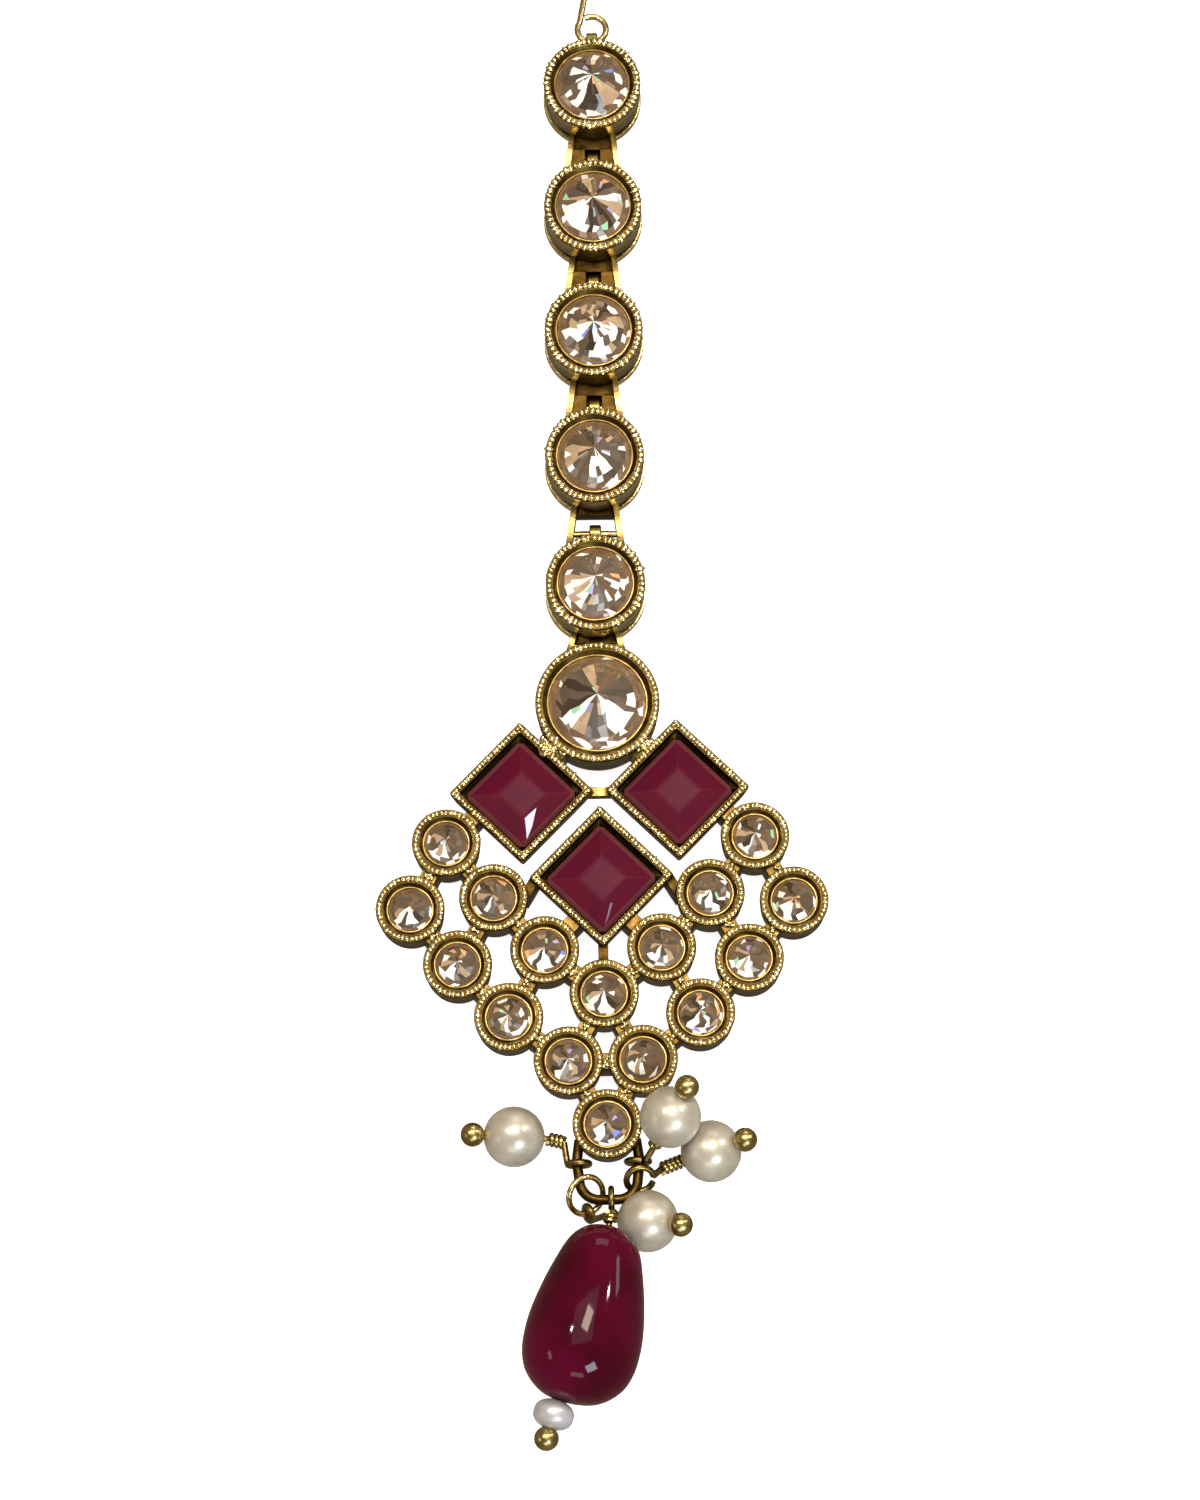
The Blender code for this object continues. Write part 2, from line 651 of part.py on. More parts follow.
def pearl(name, centre, way, radius):
    """A drilled pearl on its pin."""
    start = math.asin(PEARL_HOLE / radius)
    arc = [
        (radius * math.sin(a), radius * math.cos(a))
        for a in arc_steps(start, math.pi - start, PEARL_STEPS)
    ]
    made = turned(name, arc, BEAD_SIDES, PARTS, closed=True)
    made.data.materials.append(IVORY)
    made.matrix_world = Matrix.Translation(centre) @ facing(way, "Z")
    return rounded(made, 60.0)


def add_pearl_drops(point):
    for side, place in PEARL_DROPS.items():
        origin = Vector((*point, 0))
        way = Vector(place["out"]).normalized()
        height = PEARL + REST_GAP + place["lift"] * MM
        centre = origin + Vector((*place["pearl"], 0)) * MM + Vector((0, 0, height))
        pearl(f"pearl_{side}", centre, way, PEARL)
        eye_centre = origin + Vector((*place["eye"], 0)) * MM + Vector((0, 0, BAIL_Z))
        wrap_start = origin + Vector(place["wrap"]) * MM
        mouth = centre - way * (PEARL + STONE_GAP)
        along = Vector(place["spin"]).normalized()
        outwards = wrap_start - eye_centre
        outwards = (outwards - along * outwards.dot(along)).normalized()
        spin = along if along.cross(outwards).z > 0 else -along
        arc = eye_arc(eye_centre, place["size"] * MM, spin, outwards, EYE_TURN, EYE_STEPS)
        ball = centre + way * (PEARL + PIN_BALL - BALL_SEAT)
        head_pin(f"head_pin_{side}", ball, way, mouth, wrap_start, arc)


def add_teardrop(point):
    """The jump ring on the bail, and the teardrop, rondelle and head pin that hang from it."""
    origin = Vector((*point, 0))
    normal = Vector(RING_NORMAL).normalized()
    centre = origin + Vector(RING_PLACE) * MM
    hold = Vector(RING_HOLD)
    hold = (hold - normal * hold.dot(normal)).normalized()
    loop = eye_arc(centre, JUMP_RING, normal, hold, 360, ROUND_SIDES)[:-1]
    wire("jump_ring", [(place, JUMP_WIRE) for place in loop], PARTS, GOLD, closed=True)

    top = origin + Vector(DROP_TOP) * MM
    body = facing(drop_way(top, DROP_LEAN), "Z")
    way = drop_way(top, BORE_LEAN)
    drop = turned("teardrop", teardrop_profile(), DROP_SIDES, CUTTERS)
    drop.matrix_world = Matrix.Translation(top) @ body
    bore = rod("drop bore", PEARL_HOLE, 3 * DROP_LENGTH, (0, 0, 0), BORE_SIDES)
    bore.matrix_world = Matrix.Translation(top) @ facing(way, "X")
    boolean(drop, bore, "DIFFERENCE")
    drop = made_plain(drop)
    drop.data.transform(drop.matrix_world)
    rounded(placed("drop_bead", drop.data, PARTS, RUBY_BEAD), 60.0)

    bead = top + way * (DROP_LENGTH + STONE_GAP + RONDELLE_THICK / 2)
    rondelle = turned("rondelle_pearl", rondelle_profile(), BEAD_SIDES, PARTS, closed=True)
    rondelle.data.materials.append(IVORY)
    rondelle.matrix_world = Matrix.Translation(bead) @ facing(way, "Z")
    rounded(rondelle, 60.0)

    eye_centre = centre + hold * JUMP_RING
    tangent = normal.cross(hold)
    arc = eye_arc(eye_centre, RING_EYE, tangent, way, EYE_TURN, EYE_STEPS)
    ball = bead + way * (RONDELLE_THICK / 2 + PIN_BALL - BALL_SEAT)
    mouth = top - way * STONE_GAP
    wrap_start = mouth - way * DROP_WRAP
    head_pin("head_pin_drop", ball, way, mouth, wrap_start, arc)


def drop_way(top, lean):
    """An axis from the narrow end: it leans in plan, and falls so that the wide end rests."""
    rise = (DROP_WIDE + REST_GAP - top.z) / (DROP_LENGTH - DROP_WIDE)
    flat = math.sqrt(1 - rise**2)
    return Vector((-math.sin(lean) * flat, -math.cos(lean) * flat, rise))


def teardrop_profile():
    """The outline from the wide end to the narrow end."""
    return [(share * DROP_WIDE, along * DROP_LENGTH) for along, share in reversed(DROP_OUTLINE)]


def rondelle_profile():
    half = RONDELLE_THICK / 2
    return [
        (PEARL_HOLE + (RONDELLE - PEARL_HOLE) * math.sin(a), half * math.cos(a))
        for a in arc_steps(0.0, math.pi, RONDELLE_STEPS)
    ]


def add_hook():
    """A plain wire hook for the hair: a ring through the first link's eye, a shank and a bend."""
    eye = Vector((0, LINK_PITCH - HINGE_BELOW_LINK, HINGE_Z))
    fall = (HINGE_Z - HOOK_WIRE - REST_GAP) / (HOOK_RING + HOOK_LENGTH + HOOK_BEND)
    frame = dict(link_frames())[1] @ Matrix.Translation(eye) @ Matrix.Rotation(-math.asin(fall), 4, "X")
    ring_centre = Vector((0, HOOK_RING, 0))
    ring = eye_arc(ring_centre, HOOK_RING, (0, 0, -1), (-0.5, 1, 0), HOOK_RING_TURN,
                   HOOK_RING_STEPS)
    shank_end = ring_centre + Vector((0, HOOK_LENGTH, 0))
    bend = eye_arc(shank_end + Vector((HOOK_BEND, 0, 0)), HOOK_BEND, (0, 0, -1), (-1, 0, 0), 180,
                   HOOK_BEND_STEPS)
    tip = bend[-1] - Vector((0, HOOK_TIP, 0))
    wire("hair_hook", [(frame @ place, HOOK_WIRE) for place in [*ring, *bend, tip]], PARTS, GOLD)


clear_scene()
PARTS = collection("maang_tikka")
CUTTERS = collection("cutters")
GOLD = finish("antique gold", (0.55, 0.40, 0.12), 0.30, 1.0)
CHAMPAGNE = finish("champagne crystal", (0.80, 0.66, 0.55), 0.05, 0.0, 0.3)
RUBY = finish("ruby glass", (0.24, 0.01, 0.06), 0.12, 0.0)
RUBY_BEAD = finish("ruby bead", (0.20, 0.003, 0.03), 0.10, 0.0)
IVORY = finish("ivory pearl", (0.85, 0.78, 0.66), 0.25, 0.0)

add_links()
lowest_cup = add_pendant()
add_pearl_drops(lowest_cup)
add_teardrop(lowest_cup)
add_hook()
for helper in list(CUTTERS.objects):
    bpy.data.objects.remove(helper, do_unlink=True)
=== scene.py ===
# %% [markdown]
# # A maang tikka in antiqued gold
# The jewel lies on its back on a pale surface: a chain of stone links, a pendant of cast
# settings, four pearl drops and a ruby teardrop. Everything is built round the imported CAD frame,
# in its own coordinates, so that each visible piece stands where its CAD solid stands.

# %% Load the frame
import math

import bpy
import numpy as np
from mathutils import Matrix, Vector


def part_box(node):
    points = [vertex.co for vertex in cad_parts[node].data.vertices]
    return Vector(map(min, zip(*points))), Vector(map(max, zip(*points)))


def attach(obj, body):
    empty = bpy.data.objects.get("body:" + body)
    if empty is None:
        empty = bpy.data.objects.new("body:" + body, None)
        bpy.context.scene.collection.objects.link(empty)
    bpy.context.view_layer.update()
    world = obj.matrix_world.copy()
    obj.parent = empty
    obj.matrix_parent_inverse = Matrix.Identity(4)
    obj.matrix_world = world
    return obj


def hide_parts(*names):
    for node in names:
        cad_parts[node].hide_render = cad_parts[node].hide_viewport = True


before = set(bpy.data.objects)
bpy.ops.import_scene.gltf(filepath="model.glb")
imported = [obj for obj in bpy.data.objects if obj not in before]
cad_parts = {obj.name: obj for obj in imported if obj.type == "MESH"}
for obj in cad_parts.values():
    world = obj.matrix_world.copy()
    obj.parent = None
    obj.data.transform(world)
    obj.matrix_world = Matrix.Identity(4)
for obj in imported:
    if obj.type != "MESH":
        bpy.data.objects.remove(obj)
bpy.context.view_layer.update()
MM = 0.001
RANDOM = np.random.default_rng(11)

# %% [markdown]
# ## Shapes as arrays
# Cast settings, collets and wire are all sweeps of a closed loop. One loft function joins loops
# into a closed surface, and every shape carries a darkness for each point, which the metal's
# finish reads as patina and, in places, as painted shade. Building with arrays keeps a thousand
# rim grains quick.

# %% Lofts, tubes and balls
def shape(points, quads, tris, dark):
    """Points, four and three sided faces, and a darkness from 0 to 1 for each point."""
    points = np.asarray(points, float).reshape(-1, 3)
    return {
        "points": points,
        "quads": np.asarray(quads, int).reshape(-1, 4),
        "tris": np.asarray(tris, int).reshape(-1, 3),
        "dark": np.broadcast_to(np.ravel(dark), len(points)).astype(float),
    }


def joined(shapes):
    """One shape from several, each one's faces moved past the points before it."""
    starts = np.cumsum([0] + [len(s["points"]) for s in shapes[:-1]])
    return shape(
        np.concatenate([s["points"] for s in shapes]),
        np.concatenate([s["quads"] + n for s, n in zip(shapes, starts)]),
        np.concatenate([s["tris"] + n for s, n in zip(shapes, starts)]),
        np.concatenate([s["dark"] for s in shapes]),
    )


def moved(made, offset=(0, 0, 0), turn=0.0):
    """The shape turned about Z by an angle in radians, then shifted, in millimetres."""
    c, s = math.cos(turn), math.sin(turn)
    spin = np.array([[c, -s, 0], [s, c, 0], [0, 0, 1]])
    return {**made, "points": made["points"] @ spin.T + np.asarray(offset, float)}


def circle(count):
    """Angles evenly round a circle: a = 2 pi i / n."""
    return np.arange(count) * 2 * math.pi / count


def polar(radius, angle, height):
    """Points r cos a, r sin a, z."""
    x, y, z = np.broadcast_arrays(radius * np.cos(angle), radius * np.sin(angle), height)
    return np.stack([x, y, z], -1)


def loft(rings, dark=0.0, torus=False, tips=(None, None)):
    """Skin over closed loops, each anticlockwise seen from where the loops are going. Ends are
    fans to a tip, the loop's middle unless one is given; a torus joins its last loop to its
    first."""
    rings = np.asarray(rings, float)
    count, sides = rings.shape[:2]
    rows = np.arange(count if torus else count - 1)[:, None]
    i = np.arange(sides)
    j = (i + 1) % sides
    above = (rows + 1) % count * sides
    quads = np.stack([rows * sides + i, rows * sides + j, above + j, above + i], -1)
    dark = np.asarray(dark, float)
    dark = np.broadcast_to(dark[:, None] if dark.ndim == 1 else dark, (count, sides)).ravel()
    if torus:
        return shape(rings, quads, [], dark)
    ends = [rings[n].mean(0) if tip is None else tip for n, tip in zip((0, -1), tips)]
    base, top = count * sides, (count - 1) * sides
    fan = np.concatenate([
        np.stack([np.full(sides, base), j, i], -1),
        np.stack([np.full(sides, base + 1), top + i, top + j], -1),
    ])
    points = np.concatenate([rings.reshape(-1, 3), ends])
    return shape(points, quads, fan, np.append(dark, [dark[0], dark[-1]]))


def turned(profile, sides=64, torus=False):
    """Rows of radius, height and darkness turned round Z: x = r cos a, y = r sin a."""
    radius, height, dark = np.asarray(profile, float).T
    return loft(polar(radius[:, None], circle(sides), height[:, None]), dark, torus)


def tube(path, radius, ref, sides=12, closed=False, dark=0.3):
    """Round wire along a path: loops in the plane of n1 = ref x t and n2 = t x n1."""
    path = np.asarray(path, float)
    if closed:
        ahead = np.roll(path, -1, 0) - np.roll(path, 1, 0)
    else:
        ahead = np.gradient(path, axis=0)
    t = ahead / np.linalg.norm(ahead, axis=1, keepdims=True)
    n1 = np.cross(np.broadcast_to(ref, t.shape), t)
    n1 /= np.linalg.norm(n1, axis=1, keepdims=True)
    n2 = np.cross(t, n1)
    a = circle(sides)
    radius = np.broadcast_to(radius, len(path))[:, None, None]
    rings = path[:, None] + radius * (np.cos(a)[:, None] * n1[:, None]
                                      + np.sin(a)[:, None] * n2[:, None])
    return loft(rings, dark, closed)


def along(start, end, steps):
    """Points spaced evenly on a line: start + t (end - start)."""
    return np.linspace(np.asarray(start, float), np.asarray(end, float), steps)


def arc(centre, radius, first, second, angles):
    """Points centre + r (first cos a + second sin a)."""
    a = np.radians(angles)[:, None]
    return np.asarray(centre) + radius * (np.cos(a) * first + np.sin(a) * second)


def unit(v):
    """The vector over its length: v / |v|."""
    return np.asarray(v, float) / np.linalg.norm(v)


def ball(radius, sides, rows, dark=0.0):
    """Latitude loops from the south pole up, with the poles as tips."""
    latitude = np.linspace(-math.pi / 2, math.pi / 2, rows + 1)[1:-1, None]
    rings = polar(np.cos(latitude), circle(sides), np.sin(latitude))
    tip = np.array([0, 0, radius])
    return loft(rings * radius, dark, tips=(-tip, tip))


def pointing(made, way):
    """The shape with its Z axis brought onto a direction."""
    turn = np.array(Vector(way).to_track_quat("Z", "Y").to_matrix())
    return {**made, "points": made["points"] @ turn.T}


def many(base, centres, turns, sizes):
    """Copies of one shape, each scaled along, across and up, turned about Z and placed."""
    count, size = len(centres), len(base["points"])
    scaled = base["points"][None] * np.asarray(sizes)[:, None, :]
    c, s = np.cos(turns)[:, None], np.sin(turns)[:, None]
    x = scaled[..., 0] * c - scaled[..., 1] * s
    y = scaled[..., 0] * s + scaled[..., 1] * c
    points = np.stack([x, y, scaled[..., 2]], -1) + np.asarray(centres)[:, None]
    step = (np.arange(count) * size)[:, None, None]
    return shape(points, base["quads"][None] + step, base["tris"][None] + step,
                 np.tile(base["dark"], count))


def mesh_of(name, made):
    """A Blender mesh in metres, with the darkness as a point attribute."""
    mesh = bpy.data.meshes.new(name)
    faces = made["quads"].tolist() + made["tris"].tolist()
    mesh.from_pydata(made["points"] * MM, [], faces)
    patina = mesh.attributes.new("dark", "FLOAT", "POINT")
    patina.data.foreach_set("value", made["dark"].astype(np.float32))
    return mesh


def in_scene(name, data):
    obj = bpy.data.objects.new(name, data)
    bpy.context.scene.collection.objects.link(obj)
    return obj


def add_piece(name, made, material, nodes, crease=38.0):
    """A finished piece at the origin that rides on the frame and stands for its CAD nodes."""
    mesh = mesh_of(name, made) if isinstance(made, dict) else made
    mesh.materials.append(material)
    mesh.shade_smooth()
    mesh.set_sharp_from_angle(angle=math.radians(crease))
    obj = in_scene(name, mesh)
    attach(obj, "root")
    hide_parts(*nodes)
    return obj


def centre_of(node):
    """Middle of a CAD node's box, in millimetres."""
    low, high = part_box(node)
    return np.array((low + high) / 2) / MM


print("grain faces", len(ball(1, 8, 6)["quads"]) + len(ball(1, 8, 6)["tris"]))

# %% [markdown]
# ## Finishes
# The jewel is gold plate over brass, darkened by a brown antiquing wash that stays between the
# grains and in the recesses while the high spots are wiped bright. It could be painted by hand or
# taken from ambient occlusion; here the darkness made with the shapes drives it, broken up by
# noise, so that it stays exact at any distance. The same darkness also holds painted shade: in the
# galleries, on the cups' outer walls and feet, on the inner walls and slopes round the stones,
# and in the thin sheets under the chain's joints.

# %% Antique gold
def links_between(tree, pairs):
    for source, target in pairs:
        tree.links.new(source, target)


def set_inputs(node, values):
    for name, value in values.items():
        node.inputs[name].default_value = value


def new_finish(name):
    material = bpy.data.materials.new(name)
    material.use_nodes = True
    tree = material.node_tree
    return material, tree, tree.nodes["Principled BSDF"]


def colour_ramp(tree, stops):
    ramp = tree.nodes.new("ShaderNodeValToRGB")
    while len(ramp.color_ramp.elements) < len(stops):
        ramp.color_ramp.elements.new(0.5)
    for element, (place, colour) in zip(ramp.color_ramp.elements, stops):
        element.position = place
        element.color = (*colour, 1.0)
    return ramp


def attribute(tree, name):
    made = tree.nodes.new("ShaderNodeAttribute")
    made.attribute_name = name
    return made


def noise(tree, scale, detail):
    """Noise in object coordinates; the scale counts waves per metre."""
    place = tree.nodes.new("ShaderNodeTexCoord")
    made = tree.nodes.new("ShaderNodeTexNoise")
    set_inputs(made, {"Scale": scale, "Detail": detail})
    tree.links.new(place.outputs["Object"], made.inputs["Vector"])
    return made


def arithmetic(tree, operation, a, b):
    """A Math node whose inputs are sockets or numbers."""
    made = tree.nodes.new("ShaderNodeMath")
    made.operation = operation
    for socket, value in zip(made.inputs, (a, b)):
        if isinstance(value, (int, float)):
            socket.default_value = value
        else:
            tree.links.new(value, socket)
    return made.outputs[0]


def bumped(tree, shader, height, strength, distance):
    """Fine relief under a finish, its distance in metres."""
    bump = tree.nodes.new("ShaderNodeBump")
    set_inputs(bump, {"Strength": strength, "Distance": distance})
    links_between(tree, [
        (height, bump.inputs["Height"]), (bump.outputs["Normal"], shader.inputs["Normal"]),
    ])


# Darkness and colour, from the wiped high spots to the wash and painted shade in the recesses
PATINA_AND_SHADE_RAMP = [
    (0.0, (1.0, 0.90, 0.53)), (0.25, (0.84, 0.66, 0.28)), (0.50, (0.29, 0.212, 0.068)),
    (0.75, (0.100, 0.060, 0.013)), (1.0, (0.020, 0.010, 0.002)),
]
BLOTCH_SWING = 0.42


def antique_gold():
    """wash = dark + swing (noise - 0.5), which sets both the colour and the roughness."""
    material, tree, shader = new_finish("antique_gold")
    blotch = noise(tree, 1400, 4.0)
    swing = arithmetic(tree, "SUBTRACT", blotch.outputs["Fac"], 0.5)
    swing = arithmetic(tree, "MULTIPLY", swing, BLOTCH_SWING)
    # The darkness holds the brown wash and, in places, painted shade.
    wash_and_shade = arithmetic(tree, "ADD", attribute(tree, "dark").outputs["Fac"], swing)
    ramp = colour_ramp(tree, PATINA_AND_SHADE_RAMP)
    rough = tree.nodes.new("ShaderNodeMapRange")
    set_inputs(rough, {"To Min": 0.14, "To Max": 0.46})
    links_between(tree, [
        (wash_and_shade, ramp.inputs["Fac"]), (wash_and_shade, rough.inputs["Value"]),
        (ramp.outputs["Color"], shader.inputs["Base Color"]),
        (rough.outputs["Result"], shader.inputs["Roughness"]),
    ])
    bumped(tree, shader, noise(tree, 5200, 2.0).outputs["Fac"], 0.25, 0.00006)
    set_inputs(shader, {"Metallic": 1.0})
    return material


GOLD = antique_gold()
print("gold finish nodes", len(GOLD.node_tree.nodes))

# %% [markdown]
# Foiled crystal shows a mosaic of the lights and of its own foil, different in every facet. Ray
# traced glass over foil needs many samples and still blurs at this size, so each small cell of a
# stone carries its own colour and its own tilted normal, under a clear coat with the true shape.
# Many of these colours are painted reflections of the lights, and all of them glow faintly, a
# painted glow.

# %% Crystal, ruby and pearl
def crystal():
    material, tree, shader = new_finish("champagne_crystal")
    tone, tilt = attribute(tree, "tone"), attribute(tree, "tilt")
    links_between(tree, [
        (tone.outputs["Color"], shader.inputs["Base Color"]),
        (tone.outputs["Color"], shader.inputs["Emission Color"]),
        (tilt.outputs["Vector"], shader.inputs["Normal"]),
    ])
    # The face colours also drive a faint emission: a painted glow.
    set_inputs(shader, {"Metallic": 0.20, "Roughness": 0.14, "Coat Weight": 0.4,
                        "Coat Roughness": 0.03, "Emission Strength": 0.16})
    return material


def ruby_glass():
    """The tone of each face, half multiplied by a faint cloud."""
    material, tree, shader = new_finish("ruby_glass")
    mix = tree.nodes.new("ShaderNodeMix")
    mix.data_type = "RGBA"
    mix.blend_type = "MULTIPLY"
    factor, first, second, result = mix.inputs[0], mix.inputs[6], mix.inputs[7], mix.outputs[2]
    factor.default_value = 0.5
    links_between(tree, [
        (attribute(tree, "tone").outputs["Color"], first),
        (noise(tree, 900, 3.0).outputs["Color"], second),
        (result, shader.inputs["Base Color"]),
    ])
    set_inputs(shader, {"Roughness": 0.36, "Specular IOR Level": 0.06})
    return material


def clouded(tree, shader, scale, detail, low, high):
    """A base colour that drifts between two, and the noise that moves it."""
    cloud = noise(tree, scale, detail).outputs["Fac"]
    ramp = colour_ramp(tree, [(0.35, low), (0.65, high)])
    links_between(tree, [
        (cloud, ramp.inputs["Fac"]), (ramp.outputs["Color"], shader.inputs["Base Color"]),
    ])
    return cloud


def ruby_bead():
    material, tree, shader = new_finish("ruby_bead")
    clouded(tree, shader, 260, 2.0, (0.037, 0.0008, 0.006), (0.069, 0.0012, 0.013))
    set_inputs(shader, {"Roughness": 0.07, "Specular IOR Level": 0.16})
    return material


def pearl_finish(name, low, high):
    """Nacre: a partly metallic body under a soft coat of high index."""
    material, tree, shader = new_finish(name)
    cloud = clouded(tree, shader, 700, 3.0, low, high)
    bumped(tree, shader, cloud, 0.25, 0.00008)
    set_inputs(shader, {"Metallic": 0.34, "Roughness": 0.40, "Coat Weight": 0.9,
                        "Coat Roughness": 0.26, "Coat IOR": 1.75})
    return material


CRYSTAL = crystal()
RUBY = ruby_glass()
RUBY_BEAD = ruby_bead()
IVORY = pearl_finish("ivory_pearl", (0.38, 0.335, 0.255), (0.49, 0.45, 0.37))
WHITE = pearl_finish("white_pearl", (0.41, 0.39, 0.40), (0.49, 0.48, 0.50))
print("finishes", [m.name for m in bpy.data.materials if m.node_tree][-5:])

# %% [markdown]
# ## Rim grains
# Milgrain is a row of tiny beads rolled onto a rim. A displaced rim would smear at this size, so
# every grain is its own low bead, a little uneven, bright on top and dark where it meets the rim.

# %% Sizes of the round settings, in millimetres
SMALL = {"radius": 2.28, "height": 3.0, "stone": 1.45, "rim": 0.50}
LINK = {"radius": 3.35, "height": 3.3, "stone": 2.50, "rim": 0.45}
CROWN = {"radius": 4.15, "height": 3.2, "stone": 3.25, "rim": 0.48}
GIRDLE_DROP, GIRDLE_THICK = 0.40, 0.10
GRAIN_WIDTH, GRAIN_HEIGHT, GRAIN_INSET, GRAIN_SINK = 0.21, 0.18, 0.23, 0.07
SIZE_SPREAD, LEAN_SPREAD, PLACE_SPREAD = 0.14, 0.16, 0.016
print("settings", SMALL, LINK, CROWN)

# %% Milgrain
GRAIN = ball(1.0, 8, 6)
GRAIN["dark"] = np.clip(0.20 - 0.80 * GRAIN["points"][:, 2], 0.0, 0.95)


def grains(centres, turns, length, width=GRAIN_WIDTH):
    """Beads along a rim, their sizes varied by a few percent."""
    count = len(centres)
    sizes = np.array([length, width, GRAIN_HEIGHT])
    sizes = sizes * (1 + SIZE_SPREAD * RANDOM.standard_normal((count, 3)))
    lean = turns + LEAN_SPREAD * RANDOM.standard_normal(count)
    places = np.asarray(centres) + RANDOM.normal(0, PLACE_SPREAD, (count, 3))
    return many(GRAIN, places, lean, sizes)


def rim_grains(count, sizes, sink=GRAIN_SINK, fill=0.95, width=GRAIN_WIDTH):
    """Grains round a cup's rim, each of half length pi r / n times the fill."""
    radius = sizes["radius"] - GRAIN_INSET
    a = circle(count) + RANDOM.uniform(0, 1)
    centres = polar(radius, a, sizes["height"] - sink)
    return grains(centres, a + math.pi / 2, math.pi * radius / count * fill, width)


def square_grains(count, half, height):
    """As many grains along each side, t cos b + h sin b by t sin b - h cos b for the side's turn
    b, and the whole square turned 45 degrees."""
    t = np.tile((np.arange(count) / count * 2 - 1) * half, 4)
    b = np.repeat(np.arange(4) * math.pi / 2, count)
    x, y = t * np.cos(b) + half * np.sin(b), t * np.sin(b) - half * np.cos(b)
    centres = np.column_stack([x, y, np.full(4 * count, height)])
    return moved(grains(centres, b, half / count * 0.95), turn=math.pi / 4)


print("one rim", len(rim_grains(31, SMALL)["points"]), "points")

# %% [markdown]
# ## Settings
# A collet is a turned cup whose wall holds the stone. On the chain it stands on a rail with a
# dark gallery between; on the pendant the wall draws in a little towards a foot painted darker,
# so that the cups part from each other in shade, partly real and partly painted.

# %% Round cups
def cup(radius, height, stone, rim, rail=False):
    """Rows of radius, height and darkness: outside from the floor up, over the rim, down the inner
    slope to the lip round the stone, then to the floor."""
    girdle = height - GIRDLE_DROP
    wall = radius - 0.02
    if rail:
        outside = [(radius + 0.05, 0.00, 0.80), (radius + 0.05, 0.06, 0.35),
                   (radius + 0.05, 0.40, 0.02), (radius, 0.50, 0.25),
                   (radius - 0.33, 0.52, 0.98), (radius - 0.35, 1.22, 1.0),
                   (radius - 0.02, 1.25, 0.75), (wall, 1.30, 0.55)]
    else:
        outside = [(radius - 0.24, 0.00, 0.98), (radius - 0.20, 0.10, 0.74),
                   (radius - 0.12, 0.70, 0.86)]
    # The gallery, the outer wall and the inner slope round the stone are darkened, the wall most on
    # the pendant: brown wash together with painted shade.
    side = 0.40 if rail else 0.72
    groove = height - 0.06
    inner = radius - rim
    return [(radius - 0.80, 0, 1.0)] + outside + [
        (wall, height - 0.55, side), (radius, height - 0.28, side - 0.06),
        (radius, height - 0.14, 0.52), (radius - 0.06, groove, 0.80), (inner + 0.05, groove, 0.80),
        (inner, groove + 0.02, 0.52), (inner - 0.04, groove - 0.02, 0.82),
        (stone + 0.16, girdle + 0.12, 0.92), (stone + 0.10, girdle + 0.09, 0.78),
        (stone + 0.03, girdle + 0.10, 0.44), (stone - 0.03, girdle + 0.01, 0.66),
        (stone - 0.05, girdle - 0.10, 0.85), (stone - 0.50, girdle - 0.50, 0.9),
        (stone - 0.50, 0.50, 0.9),
    ]


SMALL_CUP = turned(cup(**SMALL), 48)
LINK_CUP = turned(cup(**LINK, rail=True), 72)
CROWN_CUP = turned(cup(**CROWN), 80)
print("small cup", len(SMALL_CUP["points"]), "points")

# %% Square boxes
def square_loop(half, corner, height, per_side=6, per_corner=4):
    """A square with round corners, turned 45 degrees, anticlockwise: a corner is h - c + c cos a
    by h - c + c sin a, for half side h and corner radius c."""
    corner = min(corner, half * 0.98)
    a = np.linspace(0, math.pi / 2, per_corner)
    flat = half - corner
    quarter = np.stack([flat + corner * np.cos(a), flat + corner * np.sin(a)], -1)
    side = np.linspace([half, -flat], [half, flat], per_side, endpoint=False)
    quarter = np.concatenate([side, quarter])
    turns = [np.array([[math.cos(b), -math.sin(b)], [math.sin(b), math.cos(b)]])
             for b in np.arange(4) * math.pi / 2 + math.pi / 4]
    loop = np.concatenate([quarter @ turn.T for turn in turns])
    return np.column_stack([loop, np.full(len(loop), height)])


BOX_CORNER, BOX_HEIGHT, RUBY_HALF = 4.80, 3.0, 2.66
BOX_HALF = BOX_CORNER / math.sqrt(2)


def box_setting():
    """A square wall, a grain groove on its rim, and dark inner walls down to the stone's ledge, as
    rows of half side, corner radius, height and darkness."""
    inner = BOX_HALF - 0.45
    # The inner walls down to the stone's ledge are near black: brown wash together with painted
    # shade.
    rows = [
        (BOX_HALF - 0.80, 0.15, 0.00, 1.0), (BOX_HALF - 0.34, 0.15, 0.00, 1.0),
        (BOX_HALF - 0.22, 0.18, 0.70, 0.88), (BOX_HALF - 0.02, 0.20, 2.45, 0.76),
        (BOX_HALF, 0.20, 2.84, 0.70), (BOX_HALF - 0.06, 0.18, 2.93, 0.82),
        (inner + 0.05, 0.12, 2.93, 0.82), (inner, 0.11, 2.96, 0.35),
        (inner - 0.05, 0.10, 2.92, 0.75), (inner - 0.06, 0.10, 2.55, 1.0),
        (inner - 0.10, 0.10, 2.30, 1.0), (1.4, 0.1, 1.5, 1.0), (1.2, 0.1, 0.5, 1.0),
    ]
    rings = [square_loop(half, corner, height) for half, corner, height, _ in rows]
    return loft(rings, np.array([row[3] for row in rows]))


BOX = joined([box_setting(), square_grains(23, BOX_HALF - GRAIN_INSET, BOX_HEIGHT - GRAIN_SINK)])
print("box", len(BOX["points"]), "points")
